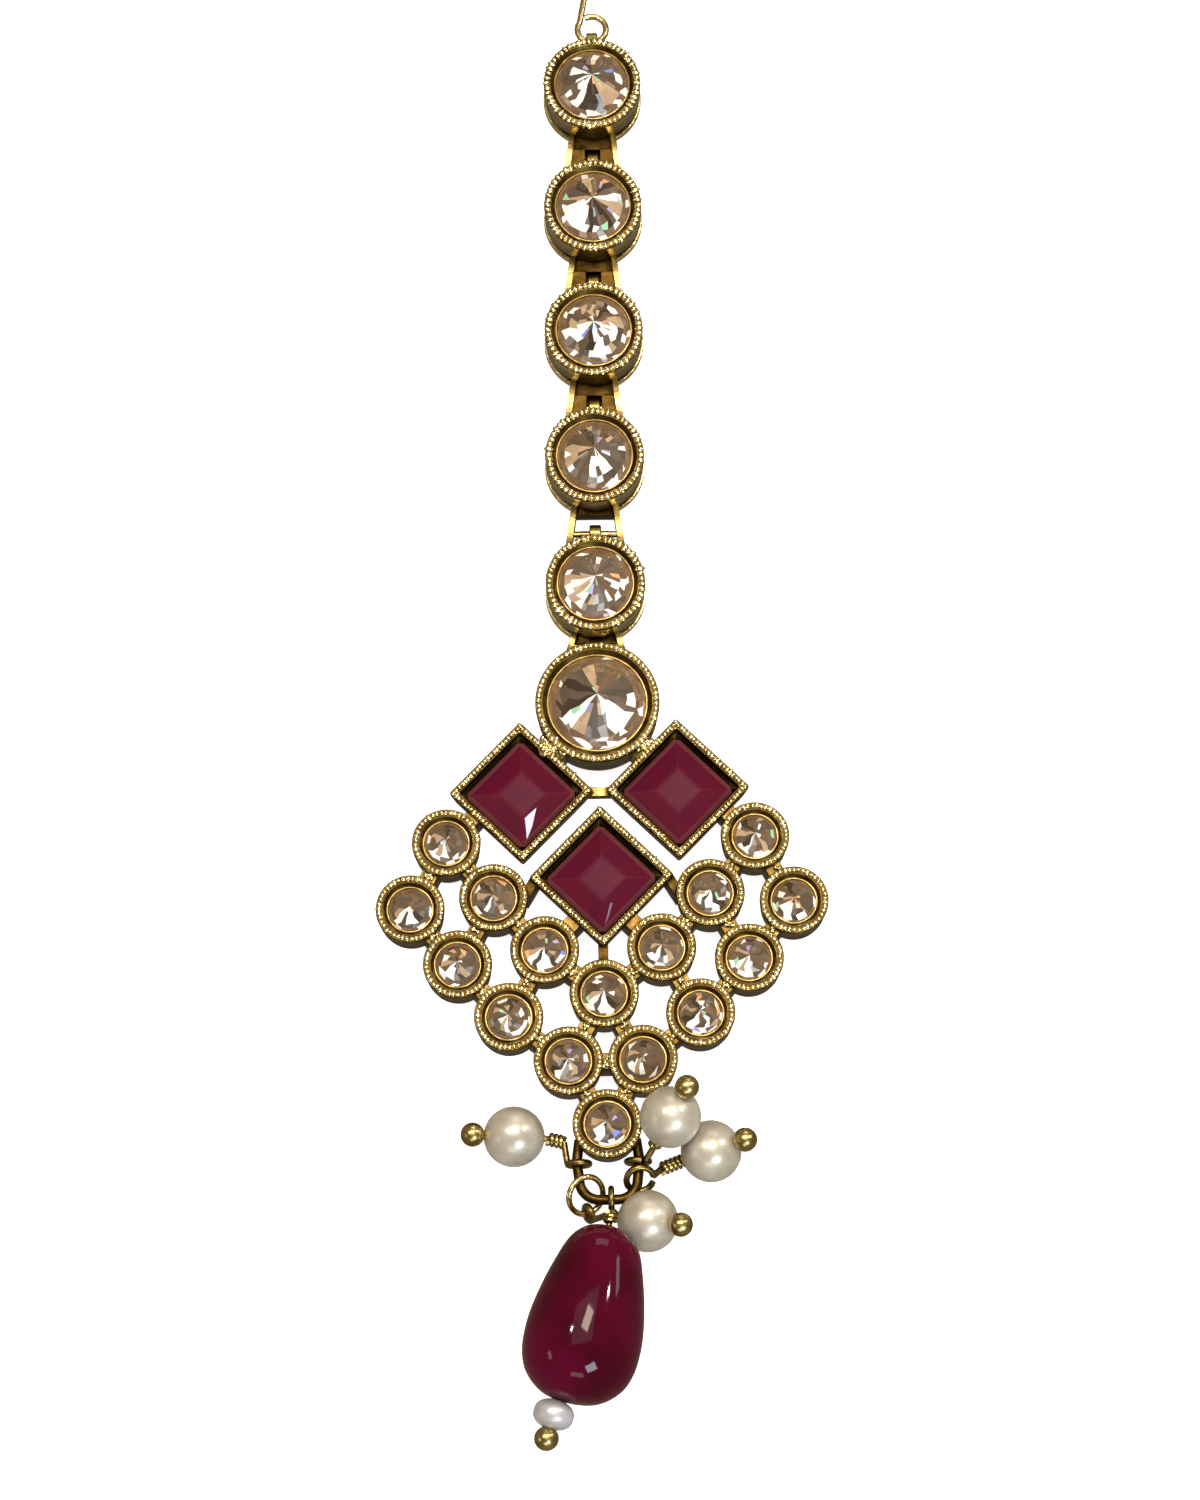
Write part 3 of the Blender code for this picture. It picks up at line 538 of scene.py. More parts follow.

# %% [markdown]
# ## Stones
# The round stones are set point up, so eight main facets meet in the middle and sixteen small ones
# run round the girdle. Their cells are laid out in rings and sectors, and the height of each point
# is the lowest of all the facet planes there, which keeps the cut exact however fine the cells are.

# %% Round stones
# The browns, greys, dark and rose are the stone's body; white and peach are painted reflections of
# the lights, the fire colours painted dispersion, and the sparks painted glints.
BROWN, GREY, DARK = (0.150, 0.093, 0.052), (0.116, 0.088, 0.062), (0.055, 0.035, 0.022)
GLINT_PEACH, GLINT_WHITE, ROSE = (0.46, 0.32, 0.20), (0.95, 0.93, 0.88), (0.185, 0.112, 0.064)
WEDGES = {"G": GREY, "B": BROWN, "D": DARK, "R": ROSE, "P": GLINT_PEACH, "W": GLINT_WHITE}
FIRE = np.array([(0.25, 0.32, 0.80), (0.85, 0.42, 0.20), (0.35, 0.65, 0.42), (0.45, 0.35, 0.65)])
STRAYS = np.array([GREY, BROWN, GLINT_PEACH, GLINT_WHITE])
STRAY_BELOW, FIRE_FROM, FIRE_TO, SPARK_ABOVE, SPARK_EXTRA = 0.10, 0.50, 0.53, 0.97, 0.15
FACET_TILT = 0.11
POINT_RISE, MAIN_SLOPE, GIRDLE_SLOPE = 0.74, 0.743, 0.822


def cut_height(radius, angle, size):
    """The lower of the main facets, 0.74 R - 0.743 r cos(a - a_main), and the girdle facets,
    0.822 (R cos 11.25 - r cos(a - a_girdle)), where each is the nearest facet to the angle."""
    main = np.cos((angle + math.pi / 8) % (math.pi / 4) - math.pi / 8)
    edge = np.cos(angle % (math.pi / 8) - math.pi / 16)
    rise = POINT_RISE * size - MAIN_SLOPE * radius * main
    belt = GIRDLE_SLOPE * (size * math.cos(math.pi / 16) - radius * edge)
    return np.maximum(np.minimum(rise, belt), 0.0)


def tones_of(angle, share, ring, pattern):
    """Colours of cells: a pattern names the colour of sixteen wedges, anticlockwise from +X. White
    and peach wedges, painted reflections, end before a rose ring, and loose numbers add strays,
    painted fires and painted glints, the glints more often on the lower side."""
    count = len(pattern)
    wedge = np.floor(angle % (2 * math.pi) * count / (2 * math.pi)).astype(int) % count
    unlit = pattern.replace("W", "G").replace("P", "B")
    plain = np.array([WEDGES[letter] for letter in unlit])
    pale = np.array([WEDGES[letter] for letter in pattern])
    lit = np.array([letter in "WP" for letter in pattern])
    start = RANDOM.uniform(-0.1, 0.22, count)
    stop = RANDOM.uniform(ring - 0.22, ring + 0.04, count)
    shown = lit[wedge] & (share > start[wedge]) & (share < stop[wedge])
    shade = RANDOM.uniform(0.75, 1.25, (count, 1))
    tone = np.where(shown[:, None], pale[wedge], (plain * shade)[wedge])
    loose = RANDOM.uniform(0, 1, len(angle))
    stray = STRAYS[RANDOM.integers(0, len(STRAYS), len(angle))]
    tone = np.where((loose < STRAY_BELOW)[:, None], stray, tone)
    fire = (loose > FIRE_FROM) & (loose < FIRE_TO)
    tone = np.where(fire[:, None], FIRE[RANDOM.integers(0, len(FIRE), len(angle))], tone)
    rosy = np.where((loose < 0.6)[:, None], ROSE, BROWN)
    tone = np.where((share > ring)[:, None], rosy, tone)
    # Painted glints come more often on the lower side of the stone.
    lower = 0.5 - 0.5 * np.sin(angle)
    spark = (share > ring - 0.14) & (loose > SPARK_ABOVE - SPARK_EXTRA * lower)
    tone = np.where(spark[:, None], GLINT_WHITE, tone)
    return np.clip(tone * RANDOM.uniform(0.9, 1.1, (len(angle), 1)), 0, 1)


def faces_of(made):
    """Corner points of every face as one array, three-sided faces with their last point twice."""
    tris = np.column_stack([made["tris"], made["tris"][:, 2]])
    return made["points"][np.concatenate([made["quads"], tris])]


def gem(name, made, tone, tilt_by, material, node, crease=0.5):
    """A cut stone with flat faces, each with its own colour and a normal tilted at random."""
    corners = faces_of(made)
    normal = np.cross(corners[:, 2] - corners[:, 0], corners[:, 3] - corners[:, 1])
    short = np.linalg.norm(normal, axis=1) < 1e-9
    first, second, third = corners[short, 0], corners[short, 1], corners[short, 2]
    normal[short] = np.cross(second - first, third - first)
    normal /= np.linalg.norm(normal, axis=1, keepdims=True)
    normal = normal + RANDOM.normal(0, tilt_by, normal.shape)
    normal /= np.linalg.norm(normal, axis=1, keepdims=True)
    mesh = mesh_of(name, made)
    colour = mesh.attributes.new("tone", "FLOAT_COLOR", "FACE")
    opaque = np.column_stack([tone, np.ones(len(tone))])
    colour.data.foreach_set("color", opaque.astype(np.float32).ravel())
    tilt = mesh.attributes.new("tilt", "FLOAT_VECTOR", "FACE")
    tilt.data.foreach_set("vector", normal.astype(np.float32).ravel())
    return add_piece(name, mesh, material, [node], crease)


def round_gem(node, sizes, sectors, shares, pattern, ring=0.84):
    """Table and crown hidden in the cup, then rings of cells from the girdle to the point."""
    centre, size = centre_of(node), sizes["stone"]
    belt = sizes["height"] - GIRDLE_DROP
    girdle = belt - GIRDLE_THICK
    step = 2 * math.pi / sectors
    angle = np.arange(sectors) * step
    rings = []
    for share, height in ((0.55, -0.30 * size), (1.0, 0.0)):
        rings.append(polar(share * size, angle, girdle + height))
    for share in shares:
        inside = 0 if share == 1.0 else 1
        a = angle + inside * step * (RANDOM.normal(0, 0.20, sectors) + RANDOM.normal(0, 0.30))
        r = size * (share + inside * RANDOM.normal(0, 0.022, sectors))
        rings.append(polar(r, a, belt + cut_height(r, a, size)))
    made = loft(rings, tips=(None, (0, 0, belt + POINT_RISE * size)))
    middle = faces_of(made).mean(1)
    around = np.arctan2(middle[:, 1], middle[:, 0])
    share = np.hypot(middle[:, 0], middle[:, 1]) / size
    tone = tones_of(around, share, ring, pattern)
    tone[middle[:, 2] < belt] = BROWN
    made = moved(made, (centre[0], centre[1], 0))
    return gem(f"cut_{node}", made, tone, FACET_TILT, CRYSTAL, node)


# Letters W and P mark painted reflections, placed mostly in the lower half of each stone.
LINK_PATTERNS = ["GGGBDGWGGWWDDPPB", "WGDBPDGPWWWDDDBP", "PBDBPBGPWWBDWGWW", "GGBGDBBPPGBWWWGG",
                 "BGGRBGGPWPWGGGBW"]
SMALL_PATTERNS = ["GGBGDBGPRWWDGPGB", "BGBGRGBGPWGWWDBG", "BGGGBDGPGDWGBPGR", "GBGDBGPBGWPWBGGB"]
CROWN_PATTERN = "GGBBPGDGDWPDGWWG"
LINK_RINGS = (1.0, 0.93, 0.82, 0.66, 0.44, 0.22)
SMALL_RINGS = (1.0, 0.90, 0.74, 0.50, 0.25)
CROWN_RINGS = (1.0, 0.94, 0.86, 0.78, 0.60, 0.40, 0.20)
GEMS = [round_gem(f"link_stone_{n}", LINK, 32, LINK_RINGS, pattern)
        for n, pattern in enumerate(LINK_PATTERNS, 1)]
GEMS += [round_gem(f"small_stone_{n:02d}", SMALL, 16, SMALL_RINGS, SMALL_PATTERNS[n % 4])
         for n in range(1, 17)]
GEMS.append(round_gem("crown_stone", CROWN, 32, CROWN_RINGS, CROWN_PATTERN, 0.80))
print(len(GEMS), "round stones,", sum(len(g.data.polygons) for g in GEMS), "faces")

# %% [markdown]
# The three square stones are opaque glass with a low table, four slopes and a narrow bevel. The
# table is a little hazy and the bevel painted pinkish, a painted sheen; two of them carry a painted
# highlight, a pale sliver on their slopes.

# %% Square rubies
# Colours of each kind of face: the bevel's pink is a painted sheen, the pale blue a painted
# highlight.
RUBY_TONES = {"wall": (0.045, 0.010, 0.014), "bevel": (0.14, 0.035, 0.040),
              "slope": (0.092, 0.001, 0.016), "edge": (0.094, 0.001, 0.017),
              "table": (0.101, 0.003, 0.022), "painted_gleam": (0.70, 0.72, 0.95)}
RUBY_SHIFT = -0.14
RUBY_GIRDLE = 2.40
SLOPE_OUT, SLOPE_IN, SLOPE_LOW, SLOPE_HIGH = RUBY_HALF - 0.30, 1.30, 0.26, 0.47
# Outline of each painted highlight, a pale sliver, in millimetres from the stone's middle,
# and its strength
PAINTED_GLEAMS = {
    "ruby_left": ([(1.0, -0.97), (0.22, -1.67), (0.33, -3.05), (0.68, -2.25)], 1.0),
    "ruby_centre": ([(0.70, -1.67), (0.52, -1.75), (0.15, -3.15), (0.42, -2.6)], 0.22),
}


def painted_gleam(outline):
    """A painted highlight: a pale sliver laid on the slopes, whose height falls with the larger of
    |u| and |v|.
    """
    outline = np.asarray(outline)
    u = (outline[:, 0] + outline[:, 1]) / math.sqrt(2)
    v = (outline[:, 1] - outline[:, 0]) / math.sqrt(2)
    run = (SLOPE_OUT - np.maximum(abs(u), abs(v))) / (SLOPE_OUT - SLOPE_IN)
    height = RUBY_GIRDLE + SLOPE_LOW + run.clip(0, 1) * (SLOPE_HIGH - SLOPE_LOW)
    return loft([np.column_stack([outline, height + rise]) for rise in (-0.05, 0.02)])


def square_gem(node):
    """Rows of half side, rise over the girdle and kind of facet, with a painted highlight, a pale
    sliver, laid on two.
    """
    centre, girdle = centre_of(node), RUBY_GIRDLE
    rows = [(0.9, -1.05, "wall"), (RUBY_HALF, -0.03, "wall"), (RUBY_HALF, 0.08, "bevel"),
            (RUBY_HALF - 0.24, 0.24, "bevel"), (SLOPE_OUT, SLOPE_LOW, "slope"),
            (SLOPE_IN, SLOPE_HIGH, "edge"), (1.12, 0.500, "edge"), (0.95, 0.515, "table"),
            (0.50, 0.520, "table")]
    rings = [square_loop(half, 0.30 if kind in ("wall", "bevel") else 0.03, girdle + rise, 1, 2)
             for half, rise, kind in rows]
    made = loft(rings)
    sides = len(rings[0])
    kinds = np.concatenate([np.repeat([kind for *_, kind in rows[:-1]], sides),
                            np.repeat(["wall", "table"], sides)])
    tone = np.array([RUBY_TONES[kind] for kind in kinds])
    if node in PAINTED_GLEAMS:
        outline, strength = PAINTED_GLEAMS[node]
        sliver = painted_gleam(outline)
        made = joined([made, sliver])
        slope, bright = np.array(RUBY_TONES["slope"]), np.array(RUBY_TONES["painted_gleam"])
        pale = slope * (1 - strength) + bright * strength
        quads = (len(rows) - 1) * sides
        tone = np.concatenate([tone[:quads], np.tile(pale, (len(sliver["quads"]), 1)),
                               tone[quads:], np.tile(pale, (len(sliver["tris"]), 1))])
    made = moved(made, (centre[0], centre[1] + RUBY_SHIFT, 0))
    return gem(f"cut_{node}", made, tone, 0.0, RUBY, node, crease=4.0)


RUBIES = [square_gem(f"ruby_{side}") for side in ("left", "right", "centre")]
print(len(RUBIES), "square stones")

# %% [markdown]
# ## Chain links
# Each link is one soldered piece: the collet, two flaring ears that hold the next link's eye on a
# pin, a cross plate between them and the eye at its own top. The bars are lofted rectangles with
# broken edges, since a sharp bar would show no highlight along its edges.

# %% Bars, eyes and links
FOOT_DARK = 0.75
LINK_PITCH, HINGE_BELOW, HINGE_Z, CROWN_EYE = 9.02, 4.87, 0.75, 4.55
EYE_ABOVE = LINK_PITCH - HINGE_BELOW
WALL_IN, EAR_NARROW, EAR_WIDE, PLATE_LIP, PLATE_TOP = 2.65, 1.35, 1.80, 0.70, 1.05


def prism(outline, low, high, edge=0.07, dark=0.45):
    """An upright prism over a convex outline, its upper edge broken, its foot darker."""
    outline = np.asarray(outline, float)
    middle = outline.mean(0)
    reach = np.linalg.norm(outline - middle, axis=1).min()
    rows = [(1.0, low, FOOT_DARK), (1.0, (low + high) / 2, dark + 0.1), (1.0, high - edge, dark),
            (1 - 0.4 * edge / reach, high - 0.4 * edge, dark - 0.25),
            (1 - edge / reach, high, dark)]
    rings = [np.column_stack([middle + (outline - middle) * scale, np.full(len(outline), height)])
             for scale, height, _ in rows]
    return loft(rings, np.array([row[2] for row in rows]))


def bar(start, end, width, low, high, end_width=None, **more):
    """A prism between two points of the plan."""
    start, end = np.asarray(start, float), np.asarray(end, float)
    way = unit(end - start)
    side = np.array([-way[1], way[0]])
    a, b = side * width / 2, side * (end_width or width) / 2
    return prism([start - a, end - b, end + b, start + a], low, high, **more)


def eye(y, height, inner=0.35, outer=0.65, width=0.8, dark=0.5):
    """A hinge eye: a rounded ring section turned about the X axis."""
    w = width / 2
    section = [(outer, -w + 0.08, dark), (outer, w - 0.08, dark), (outer - 0.08, w, dark),
               (inner, w, 0.9), (inner, -w, 0.9), (outer - 0.08, -w, dark)]
    ring = turned(section, 24, torus=True)
    points = ring["points"][:, [2, 0, 1]] + [0, y, height]
    return {**ring, "points": points}


def hinge_pin(y, height, half, radius=0.25):
    """Wire along X, drawn in a little at both ends."""
    path = along((-half, y, height), (half, y, height), 5)
    radii = radius * np.array([0.8, 1, 1, 1, 0.8])
    return tube(path, radii, (0, 0, 1), 12, dark=0.4)


def link_metal(below, ear_end, plate):
    """One link about its stone's centre, +Y towards the hair, with its hinge and the ends of its
    ears so far below the stone, and its plate so far past the cup."""
    rim = -LINK["radius"]
    parts = [LINK_CUP, rim_grains(54, LINK, 0.05, 0.88, 0.28)]
    parts.append(bar((0, -WALL_IN), (0, rim - min(plate, PLATE_LIP)), 3.1, 0, PLATE_TOP, dark=0.90))
    if plate > PLATE_LIP:
        # A thin, nearly black sheet on the ground under the joint: painted shade where the ground
        # would show through.
        parts.append(bar((0, -3.9), (0, rim - plate), 1.1, 0, 0.05, edge=0.02, dark=0.98))
        parts += [bar((x, -3.9), (x, rim - plate), 1.05, 0, PLATE_TOP, dark=0.86)
                  for x in (-1.03, 1.03)]
    for side in (-1, 1):
        parts.append(bar((side * EAR_NARROW, -WALL_IN), (side * EAR_WIDE, -ear_end), 0.40, 0, 1.5,
                         0.44, edge=0.16, dark=0.48))
    parts.append(hinge_pin(-below, HINGE_Z, EAR_NARROW + 0.30))
    parts.append(bar((0, WALL_IN), (0, EYE_ABOVE), 0.8, 0.45, PLATE_TOP, dark=0.5))
    parts.append(eye(EYE_ABOVE, HINGE_Z))
    return joined(parts)


LEAN = math.radians(-0.9)
# Hinge, ear ends and plate of each link; the fifth meets the crown cup instead of a link
REACHES = [(HINGE_BELOW, 5.826, 2.15)] * 3 + [(HINGE_BELOW, 5.826, 0.25), (3.75, 4.289, 0.25)]
LINKS = []
for number, reaches in enumerate(REACHES, 1):
    place = centre_of(f"link_stone_{number}")
    placed = moved(link_metal(*reaches), (place[0], place[1], 0), LEAN)
    LINKS.append(add_piece(f"collet_link_{number}", placed, GOLD,
                           [f"link_{number}"]))
print(len(LINKS), "links,", sum(len(link.data.polygons) for link in LINKS), "faces")

# %% [markdown]
# ## Pendant
# Twenty settings are soldered together with short bridges. The bridges end half a millimetre below
# the rims and keep the brown wash; beside the crown cup the solder stands proud as a bright lump.

# %% Pendant metal
CUPS = [centre_of(f"small_stone_{n:02d}")[:2] for n in range(1, 17)]
CENTRE, LOWER, POINT = CUPS[0], CUPS[1:3], CUPS[3]
INNER, OUTER = [CUPS[4:7], CUPS[7:10]], [CUPS[10:13], CUPS[13:16]]
CROWN_AT = centre_of("crown_stone")[:2]
BOXES = {side: centre_of(f"ruby_{side}")[:2] for side in ("left", "right", "centre")}
BRIDGE_FOOT, BRIDGE_TOP, BRIDGE_WIDTH, BRIDGE_DARK = 0.02, 2.5, 1.1, 0.74
RIB_WIDTH, CUP_BITE, BOX_BITE, CORNER_BITE = 0.66, 1.95, 0.3, 0.4


def strut(start, end, width=BRIDGE_WIDTH, high=BRIDGE_TOP, dark=BRIDGE_DARK):
    return bar(start, end, width, BRIDGE_FOOT, high, dark=dark)


def bridge(a, b):
    """A strut between two small cups, its ends inside their walls."""
    way = unit(b - a)
    return strut(a + way * CUP_BITE, b - way * CUP_BITE)


def facing_bridge(box, normal, target, reach=CUP_BITE, **more):
    """A strut that leaves a box's wall squarely, towards a cup."""
    normal = unit(normal)
    shift = (target - box) - normal * ((target - box) @ normal)
    start = box + shift + normal * (BOX_HALF - BOX_BITE)
    return strut(start, target - normal * reach, **more)


SOLDER_BALL = ball(1.0, 10, 8)
SOLDER_BALL["dark"] = np.clip(0.30 - 0.5 * SOLDER_BALL["points"][:, 2], 0.05, 0.9)


def solder(centre, spread, count, size):
    """A rough lump of solder: overlapping small balls round a point."""
    places = np.asarray(centre) + RANDOM.normal(0, 1, (count, 3)) * spread
    sizes = size * RANDOM.uniform(0.6, 1.2, (count, 3))
    return many(SOLDER_BALL, places, RANDOM.uniform(0, 3, count), sizes)


def pendant_bridges():
    """Struts between neighbours, solder on them, and what holds the three boxes."""
    pairs = [(CENTRE, LOWER[0]), (CENTRE, LOWER[1]), (LOWER[0], LOWER[1]), (LOWER[0], POINT),
             (LOWER[1], POINT)]
    for side in (0, 1):
        pairs += list(zip([CENTRE, *INNER[side][:-1]], INNER[side]))
        pairs += list(zip([LOWER[side], *OUTER[side][:-1]], OUTER[side]))
        pairs += list(zip(INNER[side], OUTER[side]))
    parts = [bridge(a, b) for a, b in pairs]
    parts += [solder([*(a + b) / 2, 2.62], (0.13, 0.13, 0.04), 6, 0.17) for a, b in pairs]
    corner = BOX_CORNER - CORNER_BITE
    parts.append(strut((0, -corner), CENTRE + [0, CUP_BITE], RIB_WIDTH, dark=0.85))
    for side, name, row in ((-1, "left", INNER[0]), (1, "right", INNER[1])):
        box, way = BOXES[name], unit((side, 1))
        half = way @ box / 2 - BOX_HALF + 0.35
        middle = (box + way * (way @ box)) / 2
        parts += [
            strut((side * corner, 0), row[1] - [side * CUP_BITE, 0], RIB_WIDTH, dark=0.85),
            facing_bridge(np.zeros(2), (side, -1), row[0]),
            facing_bridge(box, (side, -1), row[2]),
            facing_bridge(box, (-side, 1), CROWN_AT, 3.8, width=1.76, high=2.4, dark=0.5),
            strut(middle - way * half, middle + way * half, RIB_WIDTH, dark=0.7),
        ]
    level = BOXES["left"][1]
    parts.append(bar((-0.8, level), (0.8, level), RIB_WIDTH, 1.7, BRIDGE_TOP, dark=0.6))
    return parts


def pendant_metal():
    """Cups, boxes, bridges, the top eye and two lumps of solder beside the crown cup."""
    parts = []
    for x, y in CUPS:
        parts += [moved(SMALL_CUP, (x, y, 0)), moved(rim_grains(42, SMALL), (x, y, 0))]
    parts += [moved(CROWN_CUP, (*CROWN_AT, 0)), moved(rim_grains(70, CROWN), (*CROWN_AT, 0))]
    parts += [moved(BOX, (*place, 0)) for place in BOXES.values()]
    parts += pendant_bridges()
    hinge = CROWN_AT[1] + CROWN_EYE
    parts.append(bar((0, CROWN_AT[1] + 3.8), (0, hinge), 0.8, 0.45, PLATE_TOP, dark=0.5))
    parts.append(eye(hinge, HINGE_Z))
    parts.append(solder((-3.05, 8.95, 2.75), (0.42, 0.34, 0.10), 26, 0.26))
    parts.append(solder((3.05, 8.85, 2.65), (0.36, 0.28, 0.08), 12, 0.22))
    return joined(parts)


BAIL_WIRE, BAIL_Z, BAIL_DROP = 0.34, 1.40, 4.75


def bail_path():
    """A U with round corners, its ends inside the lowest cup's wall."""
    x, y = POINT
    foot, corner, half = y - BAIL_DROP, 1.30, 1.90
    left = [(x - 1.85, y - 0.80), (x - 2.05, y - 2.20)]
    bend = arc((x - half + corner, foot + corner), corner, np.array([-1, 0]),
               np.array([0, -1]), np.linspace(0, 90, 9))
    left = np.concatenate([left, bend])
    right = left[::-1] * [-1, 1] + [2 * x, 0]
    flat = np.concatenate([left, right])
    return np.column_stack([flat, np.full(len(flat), BAIL_Z)])


BAIL = tube(bail_path(), BAIL_WIRE, (0, 0, 1), 16, dark=0.86)
PENDANT = add_piece("pendant_metal", joined([pendant_metal(), BAIL]), GOLD,
                    ["pendant_frame"])
print("pendant", len(PENDANT.data.polygons), "faces")

# %% [markdown]
# ## Drops
# Each pearl hangs on a head pin: a ball below, the shank through the pearl, a few turns of wire
# wrapped above it and an eye round the bail. The turns are a true helix, since their separate
# highlights are what tells wrapped wire from a solid collar.

# %% Head pins and pearls
PIN_BALL, PIN_WIRE, WRAP_RADIUS, WRAP_WIRE, TURN_PITCH = 0.80, 0.22, 0.34, 0.15, 0.34
BALL_OUT, MOUTH_GAP, REST_GAP = 0.74, 0.08, 0.03


def helix(start, end, turns):
    """Wire wound about a line: start + t (end - start) + r (n1 cos a + n2 sin a)."""
    way = unit(end - start)
    n1 = unit(np.cross(way, [0.31, 0.17, 0.93]))
    n2 = np.cross(way, n1)
    t = np.linspace(0, 1, int(turns * 18))[:, None]
    a = t * turns * 2 * math.pi
    path = start + t * (end - start) + WRAP_RADIUS * (np.cos(a) * n1 + np.sin(a) * n2)
    return tube(path, WRAP_WIRE, way, 9, dark=0.44)


def straight(start, end, radius, dark=0.60):
    path = along(start, end, 4)
    return tube(path, radius, unit(np.cross(path[-1] - path[0], [0.3, 0.9, 0.2])), 10, dark=dark)


def eye_wire(centre, radius, spin, first):
    """Wire round a spin axis, open by 30 degrees, from a direction square to the axis."""
    path = arc(centre, radius, first, np.cross(spin, first), np.linspace(0, 330, 31))
    return tube(path, PIN_WIRE, spin, 10, dark=0.60)


def head_pin(ball_at, way, mouth, wrap_start, eye_centre, eye_radius, spin, first):
    """Ball, shank, wrapping, eye and the wire between them, and where each one starts."""
    spin, first = unit(spin), np.asarray(first, float)
    first = unit(first - spin * (first @ spin))
    run = unit(mouth - wrap_start)
    turns = np.linalg.norm(mouth - wrap_start) / TURN_PITCH
    parts = [moved(pointing(ball(PIN_BALL, 28, 16, 0.42), way), ball_at),
             straight(ball_at - way * 0.6, mouth, PIN_WIRE),
             straight(mouth, wrap_start, 0.20, dark=0.8),
             helix(wrap_start, mouth - run * 0.14, turns),
             straight(wrap_start, eye_centre + first * eye_radius, PIN_WIRE),
             eye_wire(eye_centre, eye_radius, spin, first)]
    return joined(parts)


# Eye's place, radius and axis, start of the wrapping, and the pin's way out through the pearl
DROPS = {
    "left": ((-1.95, -2.36), 0.72, (0, 1, 0), (-2.85, -0.95, 1.60), (-0.98, 0.05, 0.16)),
    "upper": ((1.95, -2.28), 0.72, (0, 1, 0), (3.02, -1.50, 2.50), (0.40, 0.57, 0.72)),
    "right": ((2.05, -3.45), 0.90, (0.15, -0.65, 0.745), (3.45, -2.75, 1.00), (0.79, 0.15, 0.58)),
    "lower": ((0.15, -4.75), 0.72, (1, 0, 0), (0.66, -5.85, 0.80), (0.77, -0.20, 0.60)),
}
LOWEST = np.array([*POINT, 0.0])
PEARL_RADIUS = 2.0


def pearl_shape():
    """A ball whose radius is scaled by 1 + 0.006 (sin x' + sin y' + sin z'), since imitation
    pearls are never quite round."""
    made = ball(PEARL_RADIUS, 64, 40)
    p = made["points"]
    phase = RANDOM.uniform(0, 6, 3)
    swell = 1 + 0.006 * (np.sin(1.3 * p[:, 0] + phase[0]) + np.sin(1.6 * p[:, 1] + phase[1])
                         + np.sin(1.2 * p[:, 2] + phase[2]))
    return {**made, "points": p * swell[:, None]}


for side, (hold, size, spin, wrap, out) in DROPS.items():
    pearl_at, way = centre_of(f"pearl_{side}"), unit(out)
    eye_at = LOWEST + [*hold, BAIL_Z]
    wrap_at = LOWEST + wrap
    metal = head_pin(pearl_at + way * (PEARL_RADIUS + BALL_OUT), way,
                     pearl_at - way * (PEARL_RADIUS + MOUTH_GAP), wrap_at, eye_at, size, spin,
                     wrap_at - eye_at)
    add_piece(f"pin_{side}", metal, GOLD, [f"head_pin_{side}"])
    bead = moved(pointing(pearl_shape(), way), pearl_at)
    add_piece(f"bead_{side}", bead, IVORY, [f"pearl_{side}"], crease=180)
    print(side, "pearl at", np.round(pearl_at, 2))

# %% [markdown]
# The teardrop is a blunt egg: a curve through half widths read along its length, turned about its
# own axis. Its bore is drilled a few degrees off that axis, so the small pearl and the ball below
# it sit to the left.

# %% Teardrop
RING_NORMAL = unit((0.47, -0.40, 0.79))
RING_CENTRE = LOWEST + [-1.50, -4.44, 1.38]
RING_RADIUS, RING_WIRE = 1.25, 0.20
HOLD = np.array([0.34, -0.94, 0.0])
HOLD = unit(HOLD - RING_NORMAL * (HOLD @ RING_NORMAL))
DROP_TOP = LOWEST + [-0.05, -6.84, 3.95]
WIDE, LENGTH = 3.80, 11.67
RONDELLE_RADIUS, RONDELLE_HALF = 1.32, 0.98


def drop_way(lean):
    """The axis from the narrow end: rise = (wide radius + gap - top height) / (length - wide)."""
    rise = (WIDE + REST_GAP - DROP_TOP[2]) / (LENGTH - WIDE)
    flat = math.sqrt(1 - rise**2)
    return np.array([-math.sin(lean) * flat, -math.cos(lean) * flat, rise])


def teardrop():
    """Rows of length from the narrow end and half width, joined by a Catmull-Rom curve:
    (2b + (c - a) t + (2a - 5b + 4c - d) t^2 + (3b - a - 3c + d) t^3) / 2."""
    rows = np.array([
        (0.0, 0.0), (0.22, 1.15), (0.75, 1.92), (1.5, 2.42), (2.7, 2.86), (4.4, 3.34), (6.1, 3.68),
        (7.5, WIDE), (8.9, 3.70), (10.1, 3.26), (11.0, 2.42), (11.5, 1.42), (LENGTH, 0.0),
    ])
    ends = np.array([rows[1] * [1, -1], rows[-2] * [1, -1]])
    k = np.concatenate([ends[:1], rows, ends[1:]])
    t = np.linspace(0, 1, 5)[:-1, None, None]
    a, b, c, d = k[:-3], k[1:-2], k[2:-1], k[3:]
    curve = 0.5 * (2 * b + (c - a) * t + (2 * a - 5 * b + 4 * c - d) * t**2
                   + (3 * b - a - 3 * c + d) * t**3)
    curve = curve.transpose(1, 0, 2).reshape(-1, 2)[1:]
    made = turned(np.column_stack([curve[:, 1], curve[:, 0], np.zeros(len(curve))]), 72)
    made["points"][-2:] = [[0, 0, 0], [0, 0, LENGTH]]
    return made


BODY_WAY, BORE_WAY = drop_way(math.radians(14.1)), drop_way(math.radians(17.6))
drop = moved(pointing(teardrop(), BODY_WAY), DROP_TOP)
add_piece("ruby_drop", drop, RUBY_BEAD, ["drop_bead"], crease=180)

